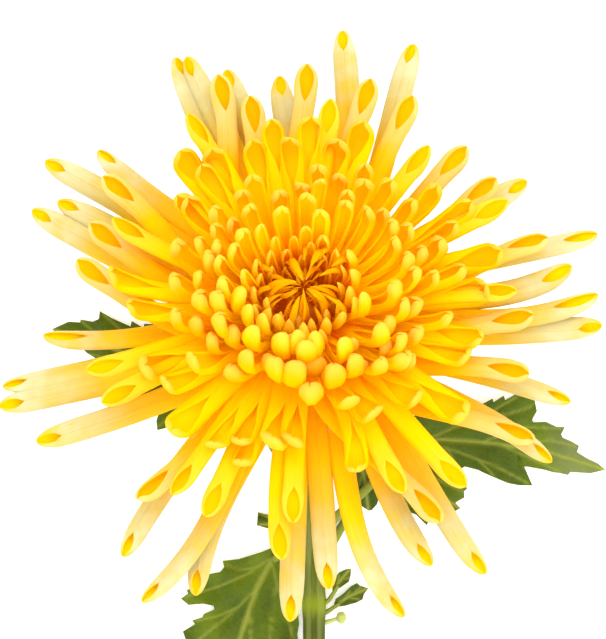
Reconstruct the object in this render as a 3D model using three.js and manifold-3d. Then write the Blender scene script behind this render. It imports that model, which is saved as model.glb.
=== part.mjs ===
// A cut spider chrysanthemum lying on a flat surface: one large bloom on a bent neck,
// a straight stem along -Y and its lobed leaves. Millimetres, +Z up, surface at z = 0.
// The bloom looks up and leans towards +Y; every floret is a tapered tube of its own.
import * as THREE from 'three';
import { mergeVertices } from 'three/addons/utils/BufferGeometryUtils.js';
import Module from 'manifold-3d';

// Driving dimensions
const headHeight = 36;              // receptacle centre above the surface
const lean = THREE.MathUtils.degToRad(22);  // bloom axis from vertical, towards +Y
const receptacle = { radius: 10, height: 7, depth: 6.5, footRadius: 3.4 };
const seatGap = 0.3;                // clearance where two pieces meet
const involucreWall = 1.1;
const stemRadius = 2.8;
const stemEnd = -190;               // y of the cut end
const stemOffset = 2.6;             // x of the stretch of stem that lies down
const leafThickness = 0.8;
const petioleRadius = 1.1;
const focusHeight = 46;             // height on the bloom axis that every floret opens towards

// Height of the floret tips over the receptacle centre, against distance from the bloom axis
const crownProfile = [
  [0, 19], [5, 21], [10, 27], [15, 30], [20, 30], [26, 27], [30, 24], [36, 19], [42, 15],
  [50, 12], [60, 8.5], [90, 0],
];
const secondProfile = [[40, 10], [50, 7], [60, 4.5], [90, -2]];
const outerProfile = [[45, -1], [60, -4], [70, -7], [90, -14]];

// Whorls: seat on the receptacle (polar angle), rise at the base and at the tip (degrees),
// half width at base and tip, half depth at the tip (mm)
const outerWhorl = {
  profile: outerProfile, seat: 86, rise: -3, tipRise: -12, base: 0.7, width: 2.4, depth: 1.7,
};
const secondWhorl = {
  profile: secondProfile, seat: 66, rise: 18, tipRise: -4, base: 0.65, width: 2.4, depth: 1.8,
};
const crownWhorl = {
  profile: crownProfile, seat: 50, rise: 36, tipRise: 2, base: 0.5, width: 2.4, depth: 2,
};
const centreRings = [               // ring radius, number of florets, half width
  [8.2, 12, 0.9], [4.2, 7, 0.7],
];

// Floret tips seen from above: x, y, sideways bow, lift (mm). Clockwise from +Y.
const outerTips = [
  [9, 68, -2.4, 0], [25.5, 64.5, -1.6, 0], [52.5, 32.5, 0, 0], [68.5, 21.5, 1.2, 1],
  [62.5, 14, -2.3, 0], [68, 8, -3, 1], [70, 0, -1.4, -2], [62.5, -18, 1, 0], [58, -32, 0, 0],
  [42.5, -58, 1.6, 0], [30, -56, 0, 0], [23.5, -68, -4.5, 0], [6, -61.5, 0, 0], [-3, -69, 0, 0],
  [-25, -63, -0.8, -2.5], [-37.5, -64.5, 3.3, 2.5], [-42, -54, -1.5, 0], [-62.5, -26.5, 1.5, 0],
  [-70.5, -20, 0.5, 0], [-70, -14, 0.7, 0], [-60, -2, 2.3, 0], [-63.5, 27, 2.3, 0],
  [-57.5, 29, 0, 0], [-60.5, 38.5, -0.7, 0], [-47, 41, 0, 0], [-31, 61, 0, 0],
  [-25.5, 62.5, 0, 3], [-18, 60, 0, 0], [-5.5, 58.5, 0, 0],
];
const secondTips = [
  [1, 61.5, 0, 0], [16, 58, 0, 0], [27, 53, 0, 0], [38.5, 42, 0, 0], [45.5, 34.5, 0, -1.5],
  [57.5, 20.5, 1, 0], [54, 2.5, -1, 0], [53, -11.5, 0.5, 0], [54, -27, 0, -1.5], [32, -46, 0, 0],
  [-39.5, -39, -2, 0], [-53, 15.5, 3, 0], [-50, 24, 1.5, 0], [-47, 35, 0, 0], [-20, 59, 0, -0.8],
  [-12.5, 54, 0, 0],
];
const crownTips = [
  [6.5, 53, 0], [14.5, 48, 0], [29.5, 42, 0], [47.5, 28, 0], [46.5, 17.5, 0], [50, 8, 0],
  [43, 9.5, 0], [42, -3, 0], [38.5, -7, 0], [38, -20.5, 0], [27, -17, 0], [38, -37.5, 0],
  [17, -20.5, 0], [23.5, -39, 0], [11.5, -18, 0], [12, -34, 3], [-2.5, -27, 0],
  [-2.5, -46, 0], [-5, -54.5, 0], [-15, -27, 0], [-14.5, -32, 0], [-24, -44.5, 0],
  [-21, -28, 0], [-30.5, -39.5, 0], [-31, -24.5, 0], [-32.5, -13.5, 0], [-47, -18, 0],
  [-26.5, -8, 0], [-37.5, -9.5, 0], [-50.5, -10.5, 0], [-41, 5, 0], [-45, 13, 2],
  [-44.5, 25, 2], [-27, 30, 0], [-28.5, 39.5, 0], [-24, 37.5, 0], [-27, 49.5, 0],
  [-21.5, 41.5, 0], [-12, 43.5, 0], [-7.5, 48.5, 0], [-3, 43.5, 0], [2, 49, 0], [8, 41.5, 0],
];
const domeTips = [
  [-12, 32.5], [-14, 29], [-21, 25], [-12.5, 25.5], [-5, 25], [1, 28], [4, 24.5], [3.5, 35],
  [4, 31.5], [10.5, 29], [14.5, 35.5], [14.5, 31.5], [15, 25], [10, 26.5], [21, 22], [25, 21],
  [21.5, 18], [21, 31.5], [26, 27], [31.5, 30.5], [37.5, 30.5], [39.5, 26.5], [32.5, 18],
  [26.5, 11], [24.5, 14.5], [31, 10], [21.5, 7.5], [24, 3.5], [14.5, 5], [18.5, -2.5],
  [23.5, -4.5], [34.5, 0], [38, 11], [24.5, -9.5], [18.5, -10.5], [12.5, -10], [10, -6.5],
  [7.5, -12.5], [1.5, -17], [-1.5, -12.5], [-7, -11], [-13.5, -9], [0.5, -7], [3, -5],
  [-5, -5], [-12, -3.5], [-1.5, -5], [-19.5, 0], [-24.5, 5], [-30, 1], [-30.5, 9],
  [-29.5, 17], [-24.5, 18], [-21, 21], [-20, 17], [-22, 14.5], [-19.5, 13.5], [-24.5, 10],
  [-19, 8.5], [-15, 6], [-14, 10.5], [-20, 5], [-16, 16.5], [-14, 20], [-10, 21], [-13, 2],
  [-9.5, 0], [-8.5, 4], [-6, 0], [-29.5, 28],
];

// Leaf outlines seen from above, from the base round the blade (mm)
const rightLeaf = [
  [22, -28], [28.5, -21.5], [42, -18.5], [44.5, -17], [47, -16.5], [50, -16], [55, -17.5],
  [53.5, -22], [61.5, -24], [60.5, -26], [65, -28], [70.5, -33.5], [62, -35], [50.5, -33],
  [53.5, -38], [45, -36], [37, -33.5], [31, -31],
];
const lowerRightLeaf = [
  [19, -25.5], [29.5, -30.5], [35.5, -35], [38.5, -38], [36.5, -40.5], [34, -41], [37, -43],
  [32, -45], [29, -47], [24.5, -43.5], [22, -39.5], [18.5, -33],
];
const foldedLeaf = [
  [8.5, -23.5], [13.5, -27], [17, -34], [18, -40], [15.5, -43.5], [12.5, -41.5], [11, -37],
  [9, -30],
];
const leftLeaf = [
  [-11, -17.5], [-17, -23.5], [-25, -22], [-34, -25], [-34.5, -19], [-43.5, -16.5], [-43, -12.5],
  [-51, -6.5], [-59, -0.5], [-52, 1], [-47.5, 3.5], [-45, 1.5], [-37.5, 0], [-31, -2],
];
const lowerLeftLeaf = [
  [-6.5, -50.5], [-14.7, -54.8], [-18.9, -55.3], [-19.4, -57.9], [-24, -60.7], [-28.7, -64.2],
  [-21.2, -65.8], [-20.8, -66.7], [-28.2, -71.9], [-30, -77], [-21.5, -81], [-25, -86],
  [-22, -92.5], [-15, -91.5], [-10, -87.5], [-10, -80.5], [-2.5, -80.5], [-0.9, -76], [-0.9, -70],
  [-1.4, -65.3], [-4.5, -53],
];
const bractLeaf = [[-3, -49.5], [-6.5, -48.5], [-11, -47], [-8.5, -46], [-10.5, -44], [-5, -45.5]];
const shootLeafUpper = [[7, -63], [11, -60], [11.3, -57.2], [8.5, -57.8], [6.9, -60.5]];
const shootLeafLower = [
  [7, -66.5], [10, -65.9], [14.7, -64], [15.4, -61.8], [12.6, -60.5], [8.6, -63.6],
];
const budCentre = new THREE.Vector3(9, -68.6, 3.2);
const budRadius = 1.5;

const colours = {
  outer: 0xf6dc8c, second: 0xf4c62c, middle: 0xf8c010, inner: 0xf9d21a, green: 0x5d7420,
  pale: 0x8f9a5c, receptacle: 0xc9cf8a, bud: 0xb9b45a,
};

const wasm = await Module();
wasm.setup();

function toManifold(geometry) {
  const bare = geometry.clone();
  bare.deleteAttribute('normal');
  bare.deleteAttribute('uv');
  const merged = mergeVertices(bare, 1e-4);
  return new wasm.Manifold(new wasm.Mesh({
    numProp: 3,
    vertProperties: new Float32Array(merged.attributes.position.array),
    triVerts: new Uint32Array(merged.index.array),
  }));
}

function toGeometry(solid) {
  const mesh = solid.getMesh();
  const geometry = new THREE.BufferGeometry();
  geometry.setAttribute('position', new THREE.BufferAttribute(mesh.vertProperties, 3));
  geometry.setIndex(new THREE.BufferAttribute(mesh.triVerts, 1));
  return geometry;
}

function union(geometries) {
  return toGeometry(geometries.map(toManifold).reduce((whole, piece) => whole.add(piece)));
}

// A closed cylinder bent along a curve: stations are fractions of the curve, radii(s) gives
// the half width and half depth there, and the depth points from the curve towards `focus`.
function sweep(curve, stations, radii, sides, focus) {
  const rings = stations.length - 1;
  const geometry = new THREE.CylinderGeometry(1, 1, 1, sides, rings);
  const position = geometry.attributes.position;
  const sections = stations.map((s) => {
    const centre = curve.getPointAt(s);
    const tangent = curve.getTangentAt(s);
    const front = focus.clone().sub(centre);
    front.addScaledVector(tangent, -front.dot(tangent)).normalize();
    const side = new THREE.Vector3().crossVectors(front, tangent);
    return { centre, front, side, radii: radii(s) };
  });
  for (let i = 0; i < position.count; i += 1) {
    const ring = Math.round((position.getY(i) + 0.5) * rings);
    const { centre, front, side, radii: [width, depth] } = sections[ring];
    const point = centre.clone()
      .addScaledVector(front, position.getX(i) * depth)
      .addScaledVector(side, position.getZ(i) * width);
    position.setXYZ(i, point.x, point.y, point.z);
  }
  return geometry;
}

function profileHeight(profile, distance) {
  const next = Math.max(profile.findIndex(([r]) => r >= distance), 1);
  const [r1, h1] = profile[next];
  const [r0, h0] = profile[next - 1];
  return h0 + (h1 - h0) * (distance - r0) / (r1 - r0);
}

// Point on a whorl's profile, in the bloom's own frame, that lies above the plan position x, y
function crownPoint(x, y, profile, lift = 0) {
  let height = 10;
  const point = new THREE.Vector3();
  for (let pass = 0; pass < 12; pass += 1) {
    const across = (y - height * Math.sin(lean)) / Math.cos(lean);
    height += (profileHeight(profile, Math.hypot(x, across)) + lift - height) * 0.6;
    point.set(x, across, height);
  }
  return point;
}

// The same for a tip that lies at height z over the surface
function groundedPoint(x, y, z) {
  const drop = z - headHeight;
  const across = y * Math.cos(lean) - drop * Math.sin(lean);
  return new THREE.Vector3(x, across, y * Math.sin(lean) + drop * Math.cos(lean));
}

const radial = (azimuth) => new THREE.Vector3(Math.cos(azimuth), Math.sin(azimuth), 0);
const bloomAxis = new THREE.Vector3(0, 0, 1);
const focus = new THREE.Vector3(0, 0, focusHeight);

function rising(azimuth, degrees) {
  const angle = THREE.MathUtils.degToRad(degrees);
  return radial(azimuth).multiplyScalar(Math.cos(angle)).addScaledVector(bloomAxis, Math.sin(angle));
}

function seatPoint(azimuth, seatAngle) {
  const angle = THREE.MathUtils.degToRad(seatAngle);
  return radial(azimuth).multiplyScalar((receptacle.radius + seatGap) * Math.sin(angle))
    .addScaledVector(bloomAxis, (receptacle.height + seatGap) * Math.cos(angle));
}

function floretCurve(tip, baseAzimuth, bow, whorl) {
  const azimuth = Math.atan2(tip.y, tip.x);
  const base = seatPoint(baseAzimuth, whorl.seat);
  const reach = tip.distanceTo(base);
  const lead = base.clone().addScaledVector(rising(baseAzimuth, whorl.rise), reach * 0.38);
  const trail = tip.clone().addScaledVector(rising(azimuth, whorl.tipRise), -reach * 0.36)
    .addScaledVector(radial(azimuth + Math.PI / 2), bow * 2.25);
  return new THREE.CubicBezierCurve3(base, lead, trail, tip);
}

function floret(curve, whorl, stations, sides) {
  const radii = (s) => {
    const grown = THREE.MathUtils.smoothstep(s, 0, 0.55);
    const rounding = s > 0.99 ? 0.45 : 1;
    const width = THREE.MathUtils.lerp(whorl.base, whorl.width, grown) * rounding;
    return [width, width * whorl.depth / whorl.width];
  };
  return sweep(curve, stations, radii, sides, focus);
}

// Florets leave the receptacle evenly spaced, in the same order as their tips
function baseAzimuths(tips) {
  const found = tips.map((tip) => Math.atan2(tip.y, tip.x));
  const order = found.map((_, i) => i).sort((a, b) => found[a] - found[b]);
  const step = 2 * Math.PI / tips.length;
  const shift = order.reduce((sum, i, rank) => sum + found[i] - rank * step, 0) / tips.length;
  const azimuths = [];
  order.forEach((i, rank) => {
    azimuths[i] = THREE.MathUtils.lerp(found[i], rank * step + shift, 0.75);
  });
  return azimuths;
}

function part(name, geometry, colour, roughness = 0.7) {
  const mesh = new THREE.Mesh(
    geometry,
    new THREE.MeshStandardMaterial({ color: colour, roughness, metalness: 0 }),
  );
  mesh.name = name;
  return mesh;
}

const flower = new THREE.Group();
const bloom = new THREE.Group();
bloom.position.z = headHeight;
bloom.rotation.x = -lean;
flower.add(bloom);

// Receptacle and the cup of bracts under it
function domeArc(radius, height, from, to, steps) {
  return Array.from({ length: steps + 1 }, (_, i) => {
    const angle = THREE.MathUtils.degToRad(THREE.MathUtils.lerp(from, to, i / steps));
    return new THREE.Vector2(radius * Math.sin(angle), height * Math.cos(angle));
  });
}

const onAxis = (height) => new THREE.Vector2(0, height);
const lathe = (profile, sides) => new THREE.LatheGeometry(profile, sides).rotateX(Math.PI / 2);
const { radius, height, depth, footRadius } = receptacle;
bloom.add(part('receptacle', lathe([
  onAxis(-depth),
  new THREE.Vector2(footRadius, -depth),
  new THREE.Vector2(radius * 0.86, -depth * 0.4),
  new THREE.Vector2(radius, 0),
  ...domeArc(radius, height, 80, 10, 5),
  onAxis(height),
], 18), colours.receptacle));

const cupFloor = -depth - seatGap;
bloom.add(part('involucre', lathe([
  onAxis(cupFloor - involucreWall),
  new THREE.Vector2(footRadius + involucreWall, cupFloor - involucreWall),
  new THREE.Vector2(radius * 0.86 + seatGap + involucreWall * 1.2, -depth * 0.48),
  new THREE.Vector2(radius + seatGap + involucreWall, -0.6),
  new THREE.Vector2(radius + seatGap + 0.2, -0.6),
  new THREE.Vector2(radius * 0.86 + seatGap + 0.2, -depth * 0.4 - 0.2),
  new THREE.Vector2(footRadius + 0.2, cupFloor),
  onAxis(cupFloor),
], 18), colours.green));

// Long outer florets and the second whorl, each a node of its own
const longStations = [0, 0.15, 0.35, 0.6, 0.82, 0.965, 1];
const groundedTip = 1.9;            // tip height of the outer florets that rest on the surface
const grounded = new Set([0, 1, 25]);

function addWhorl(prefix, list, whorl, colour) {
  const tips = list.map(([x, y, , lift], i) => (
    whorl === outerWhorl && grounded.has(i)
      ? groundedPoint(x, y, groundedTip)
      : crownPoint(x, y, whorl.profile, lift)));
  const azimuths = baseAzimuths(tips);
  tips.forEach((tip, i) => {
    const curve = floretCurve(tip, azimuths[i], list[i][2], whorl);
    const name = `${prefix}_${String(i + 1).padStart(2, '0')}`;
    bloom.add(part(name, floret(curve, whorl, longStations, 6), colour));
  });
}

addWhorl('outer_floret', outerTips, outerWhorl, colours.outer);
addWhorl('second_floret', secondTips, secondWhorl, colours.second);

// Crowded florets whose bases have grown into one mat over the receptacle
function matGeometry(from, to, thickness) {
  const lower = domeArc(radius + seatGap, height + seatGap, from, to, 3);
  const upper = domeArc(radius + seatGap + thickness, height + seatGap + thickness, to, from, 3);
  const profile = [...lower, ...upper];
  return lathe(from === 0 ? profile : [...profile, profile[0].clone()], 20);
}

// A crowded floret seats nearer the axis, and rises more steeply, the closer its tip is to it
function crowdedWhorl(tip) {
  const distance = Math.hypot(tip.x, tip.y);
  const share = Math.min(distance / 45, 1);
  const curl = THREE.MathUtils.smoothstep(distance, 22, 50);
  return {
    ...crownWhorl,
    seat: THREE.MathUtils.lerp(16, crownWhorl.seat, share),
    rise: THREE.MathUtils.lerp(88, crownWhorl.rise, share),
    tipRise: THREE.MathUtils.lerp(98, crownWhorl.tipRise, curl),
  };
}

const crownList = [...crownTips, ...domeTips];
const crowdedStations = (curve, buried) => [0, 0.5, 0.92, 1].map((s) => (
  THREE.MathUtils.lerp(buried / curve.getLength(), 1, s)));
const matThickness = 5;
const matBuried = 3;                // length of each floret that is lost in the mat
bloom.add(part('crown_florets', union([
  matGeometry(16, 54, matThickness),
  ...crownList.map(([x, y, bow = 0]) => {
    const tip = crownPoint(x, y, crownProfile);
    const whorl = crowdedWhorl(tip);
    const curve = floretCurve(tip, Math.atan2(tip.y, tip.x), bow, whorl);
    return floret(curve, whorl, crowdedStations(curve, matBuried), 4);
  }),
]), colours.middle));

bloom.add(part('centre_florets', union([
  matGeometry(0, 11, 1.2),
  ...centreRings.flatMap(([ringRadius, count, halfWidth]) => (
    Array.from({ length: count }, (_, i) => {
      const azimuth = i * 2 * Math.PI / count;
      const tip = radial(azimuth).multiplyScalar(ringRadius * 0.6)
        .addScaledVector(bloomAxis, profileHeight(crownProfile, ringRadius) - 2);
      const whorl = { seat: 8, rise: 84, tipRise: 120, base: 0.4, width: halfWidth, depth: halfWidth };
      const curve = floretCurve(tip, azimuth, 0, whorl);
      return floret(curve, whorl, crowdedStations(curve, 0.5), 4);
    }))),
]), colours.inner));

// Stem: down from the bloom, round the neck and along the surface
const neckTop = new THREE.Vector3(0, 0, cupFloor - involucreWall - seatGap)
  .applyAxisAngle(new THREE.Vector3(1, 0, 0), -lean)
  .add(new THREE.Vector3(0, 0, headHeight));
const neckTurn = Math.PI / 2 - lean;
const neckRadius = (neckTop.z - stemRadius) / (1 - Math.cos(neckTurn));
const neckPoint = (turn) => new THREE.Vector3(
  stemOffset * (1 - turn / neckTurn) ** 2 * 0.8,
  neckTop.y - neckRadius * (Math.sin(neckTurn) - Math.sin(turn)),
  stemRadius + neckRadius * (1 - Math.cos(turn)),
);
const stemCurve = new THREE.CatmullRomCurve3([
  ...[1, 0.8, 0.6, 0.4, 0.2, 0].map((share) => neckPoint(neckTurn * share)),
  new THREE.Vector3(stemOffset, -60, stemRadius),
  new THREE.Vector3(stemOffset, -100, stemRadius),
  new THREE.Vector3(stemOffset * 0.6, -145, stemRadius),
  new THREE.Vector3(stemOffset * 0.3, stemEnd, stemRadius),
], false, 'centripetal');
const stemStations = Array.from({ length: 25 }, (_, i) => i / 24);
flower.add(part('stem', sweep(
  stemCurve, stemStations, () => [stemRadius, stemRadius], 10, new THREE.Vector3(0, -80, 400),
), colours.pale));

// Leaves: a flat blade, lifted by a slope, and a petiole that reaches the stem
function bladeGeometry(outline, lift) {
  const shape = new THREE.Shape(outline.map(([x, y]) => new THREE.Vector2(x, y)));
  const geometry = new THREE.ExtrudeGeometry(shape, { depth: leafThickness, bevelEnabled: false });
  const position = geometry.attributes.position;
  for (let i = 0; i < position.count; i += 1) {
    const rise = lift(position.getX(i), position.getY(i));
    position.setZ(i, position.getZ(i) + rise);
  }
  return geometry;
}

function petioleGeometry(points, thickness = petioleRadius) {
  const curve = new THREE.CatmullRomCurve3(points.map((point) => new THREE.Vector3(...point)));
  const stations = [0, 0.25, 0.5, 0.75, 1];
  return sweep(curve, stations, () => [thickness, thickness], 6, new THREE.Vector3(0, 0, 500));
}

const flat = () => 0;
flower.add(part('leaf_right', union([
  bladeGeometry(rightLeaf, (x) => (70.5 - x) * 0.075),
  petioleGeometry([[6.2, -46.5, 3.4], [10.5, -42.5, 5.2], [15.5, -38, 6.6], [20, -32.5, 5.4], [25, -28, 4]]),
]), colours.green));
flower.add(part('leaf_lower_right', union([
  bladeGeometry(lowerRightLeaf, flat),
  petioleGeometry([[6.4, -52, 1.6], [9.5, -46.5, 1.2], [15.5, -38, 1.1], [21, -31, 1.1]]),
]), colours.green));
flower.add(part('leaf_folded', union([
  bladeGeometry(foldedLeaf, (x, y) => 1.9 + (y + 43.5) * 0.3),
  petioleGeometry([[4, -19.5, 9.6], [6.5, -22, 8.9], [10.5, -26.5, 7.2]], 0.8),
]), colours.green));
flower.add(part('leaf_left', union([
  bladeGeometry(leftLeaf, flat),
  petioleGeometry([[-2.1, -39, 2.6], [-6, -30, 1.4], [-14, -19, 1.1]]),
]), colours.green));
flower.add(part('leaf_lower_left', union([
  bladeGeometry(lowerLeftLeaf, flat),
  petioleGeometry([[-0.8, -53.4, 2.2], [-2.8, -53.2, 1.6], [-7, -55, 1.1]]),
]), colours.green));
flower.add(part('bract_left', union([
  bladeGeometry(bractLeaf, (x) => (x + 11) * 0.2),
  petioleGeometry([[-0.95, -49.8, 2.4], [-3, -48.8, 2], [-5, -47.8, 1.6]], 0.6),
]), colours.green));
flower.add(part('shoot_leaf_upper', union([
  bladeGeometry(shootLeafUpper, (x) => 3.6 - (x - 7) * 0.3),
  petioleGeometry([[6.2, -64.4, 3.7], [7.2, -62.8, 3.8], [8.2, -61.2, 3.7]], 0.55),
]), colours.green));
flower.add(part('shoot_leaf_lower', union([
  bladeGeometry(shootLeafLower, (x) => Math.max(2.2 - (x - 7) * 0.25, 0)),
  petioleGeometry([[6.1, -67, 2.4], [7.2, -66.2, 2.5], [8.6, -65.4, 2.3]], 0.55),
]), colours.green));
flower.add(part('bud', union([
  new THREE.SphereGeometry(budRadius, 8, 6).translate(budCentre.x, budCentre.y, budCentre.z),
  petioleGeometry([[6, -69.6, 2.8], [7.2, -69.2, 3], [8.2, -68.8, 3.1]], 0.5),
]), colours.bud));

// The finished flower stands with the middle of its footprint over the origin
const extent = new THREE.Box3().setFromObject(flower, true);
const middle = extent.getCenter(new THREE.Vector3());
flower.position.set(-middle.x, -middle.y, -extent.min.z);
const placed = new THREE.Group();
placed.add(flower);

export default placed;
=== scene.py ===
import math
import bpy
import numpy as np
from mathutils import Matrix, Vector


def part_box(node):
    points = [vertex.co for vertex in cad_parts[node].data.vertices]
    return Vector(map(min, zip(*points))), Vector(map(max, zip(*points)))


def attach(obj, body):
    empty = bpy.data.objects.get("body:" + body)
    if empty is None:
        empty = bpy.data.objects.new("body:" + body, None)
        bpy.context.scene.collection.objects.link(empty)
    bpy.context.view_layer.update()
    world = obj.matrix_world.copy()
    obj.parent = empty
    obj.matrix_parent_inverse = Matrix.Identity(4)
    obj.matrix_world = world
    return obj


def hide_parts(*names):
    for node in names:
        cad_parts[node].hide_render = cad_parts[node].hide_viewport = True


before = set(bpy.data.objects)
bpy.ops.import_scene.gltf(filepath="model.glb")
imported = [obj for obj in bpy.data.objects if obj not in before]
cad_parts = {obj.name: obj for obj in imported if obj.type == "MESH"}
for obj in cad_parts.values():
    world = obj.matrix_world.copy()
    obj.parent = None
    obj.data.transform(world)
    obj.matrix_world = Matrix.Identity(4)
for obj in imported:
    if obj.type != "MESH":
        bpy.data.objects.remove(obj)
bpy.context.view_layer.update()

# Everything below is worked out in millimetres, in the flower's own plan, and moved to the row's
# place when it becomes a mesh. The left leaf lies flat, so its box gives that move.
leafTip = {"x": -59.0, "y": 3.5}
leafLow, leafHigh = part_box("leaf_left")
rowShift = np.array([1000 * leafLow.x - leafTip["x"], 1000 * leafHigh.y - leafTip["y"], 1000 * leafLow.z])

bloom = {"headHeight": 36.0, "lean": math.radians(22), "radius": 10.0, "height": 7.0, "depth": 6.5,
         "footRadius": 3.4, "seatGap": 0.3}
sinLean, cosLean = math.sin(bloom["lean"]), math.cos(bloom["lean"])
axis = np.array([0.0, 0.0, 1.0])
skyward = np.array([0.0, 1.0, 0.0])
creaseAngle = math.radians(50)
metres = 0.001


def smooth(value):
    # 3 x^2 - 2 x^3 between 0 and 1
    value = np.clip(value, 0, 1)
    return value * value * (3 - 2 * value)


def unit(vectors):
    # each vector divided by its length
    return vectors / np.linalg.norm(vectors, axis=-1, keepdims=True)


def travel(points):
    # how far along a polyline each of its points is
    return np.concatenate([[0], np.cumsum(np.linalg.norm(np.diff(points, axis=0), axis=1))])


def between(places, knots, points):
    # where a polyline is at these places among the knots of its points
    return np.stack([np.interp(places, knots, points[:, k]) for k in range(points.shape[1])], -1)


def circle(count):
    # angles of a full turn
    return np.linspace(0, 2 * math.pi, count, endpoint=False)


def turned(radius, angle, level):
    # points (radius * cos, radius * sin, level) round the axis
    return np.stack([radius * np.cos(angle), radius * np.sin(angle), level], -1)


def swerve(draw, most, count=None):
    # a draw between minus and plus this much
    return draw.uniform(-most, most, count)


def toPlan(points):
    # the bloom's own frame turned by its lean about X, then raised to the head's height
    x, y, z = points[..., 0], points[..., 1], points[..., 2]
    raised = -y * sinLean + z * cosLean + bloom["headHeight"]
    return np.stack([x, y * cosLean + z * sinLean, raised], -1)


def srgb(red, green, blue):
    # display values from 0 to 255 as linear light
    share = np.array([red, green, blue]) / 255
    linear = np.where(share <= 0.04045, share / 12.92, ((share + 0.055) / 1.055) ** 2.4)
    return (*[float(v) for v in linear], 1.0)


def newObject(name, data):
    # an object that stands in the scene
    made = bpy.data.objects.new(name, data)
    bpy.context.scene.collection.objects.link(made)
    return made


def addPiece(name, node, points, faces, material, shade=None, grain=None, around=0):
    # one closed mesh from points in millimetres and an array of quads, with its per-point attributes;
    # around is a rolled shell's points per ring, whose four lip edges stay crisp
    mesh = bpy.data.meshes.new(name)
    places = (points.reshape(-1, 3) + rowShift) * metres
    places[:, 2] = np.maximum(places[:, 2], 0)
    mesh.vertices.add(len(places))
    mesh.vertices.foreach_set("co", places.astype(np.float32).ravel())
    mesh.loops.add(faces.size)
    mesh.loops.foreach_set("vertex_index", faces.astype(np.int32).ravel())
    mesh.polygons.add(len(faces))
    mesh.polygons.foreach_set("loop_start", np.arange(0, faces.size, faces.shape[1], dtype=np.int32))
    mesh.update(calc_edges=True)
    mesh.validate()
    mesh.polygons.foreach_set("use_smooth", np.ones(len(mesh.polygons), bool))
    for layer, kind, key, values in (("shade", "FLOAT_COLOR", "color", shade),
                                     ("grain", "FLOAT_VECTOR", "vector", grain)):
        if values is not None:
            made = mesh.attributes.new(layer, kind, "POINT")
            made.data.foreach_set(key, values.astype(np.float32).ravel())
    if around:
        ends = np.empty(2 * len(mesh.edges), np.int32)
        mesh.edges.foreach_get("vertices", ends)
        column = ends.reshape(-1, 2) % around
        lip = np.isin(column[:, 0], (0, around // 2 - 1, around // 2, around - 1))
        mesh.edges.foreach_set("use_edge_sharp", lip & (column[:, 0] == column[:, 1]))
    else:
        mesh.set_sharp_from_angle(angle=creaseAngle)
    piece = newObject(name, mesh)
    mesh.materials.append(material)
    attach(piece, "root")
    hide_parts(node)


def gridFaces(rows, columns, closed=False):
    # quads of a rows by columns grid, closed round its columns or not
    i, j = np.meshgrid(np.arange(rows - 1), np.arange(columns - (not closed)), indexing="ij")
    k = (j + 1) % columns
    corners = [i * columns + j, i * columns + k, (i + 1) * columns + k, (i + 1) * columns + j]
    return np.stack(corners, -1).reshape(-1, 4)


def closedFaces(rings, around):
    # quads between neighbouring rings all the way round, and a strip of them across each end ring
    m = np.arange(around // 2 - 1)
    strip = np.stack([m, m + 1, around - 2 - m, around - 1 - m], -1)
    return np.concatenate([gridFaces(rings, around, True)[:, ::-1], strip,
                           strip[:, ::-1] + (rings - 1) * around])


def slab(top, under):
    # two grids of the same size as the faces of one closed sheet, joined round the border
    rows, columns = top.shape[:2]
    faces = gridFaces(rows, columns)
    number = np.arange(rows * columns).reshape(rows, columns)
    border = np.concatenate([number[0, :-1], number[:-1, -1], number[-1, :0:-1], number[:0:-1, 0]])
    ahead = np.roll(border, -1)
    below = rows * columns
    rim = np.stack([ahead, border, border + below, ahead + below], -1)
    points = np.concatenate([top.reshape(-1, 3), under.reshape(-1, 3)])
    return points, np.concatenate([faces, faces[:, ::-1] + below, rim])


def joined(shapes):
    # several sets of points, faces and attributes as one set
    starts = np.cumsum([0] + [len(shape[0]) for shape in shapes])
    moved = [(shape[0], shape[1] + start, *shape[2:]) for shape, start in zip(shapes, starts)]
    return [np.concatenate(column) for column in zip(*moved)]


class Sock:
    # a shader socket that takes part in sums; numbers and other sockets may stand on either side
    def __init__(self, shader, socket):
        self.shader = shader
        self.socket = socket

    def calc(self, operation, first, second):
        return self.shader.node("ShaderNodeMath", {"operation": operation}, {0: first, 1: second})

    def out(self, name):
        return Sock(self.shader, self.socket.node.outputs[name])

    def __add__(self, other):
        return self.calc("ADD", self, other)

    def __sub__(self, other):
        return self.calc("SUBTRACT", self, other)

    def __rsub__(self, other):
        return self.calc("SUBTRACT", other, self)

    def __mul__(self, other):
        return self.calc("MULTIPLY", self, other)

    __radd__ = __add__
    __rmul__ = __mul__


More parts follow.
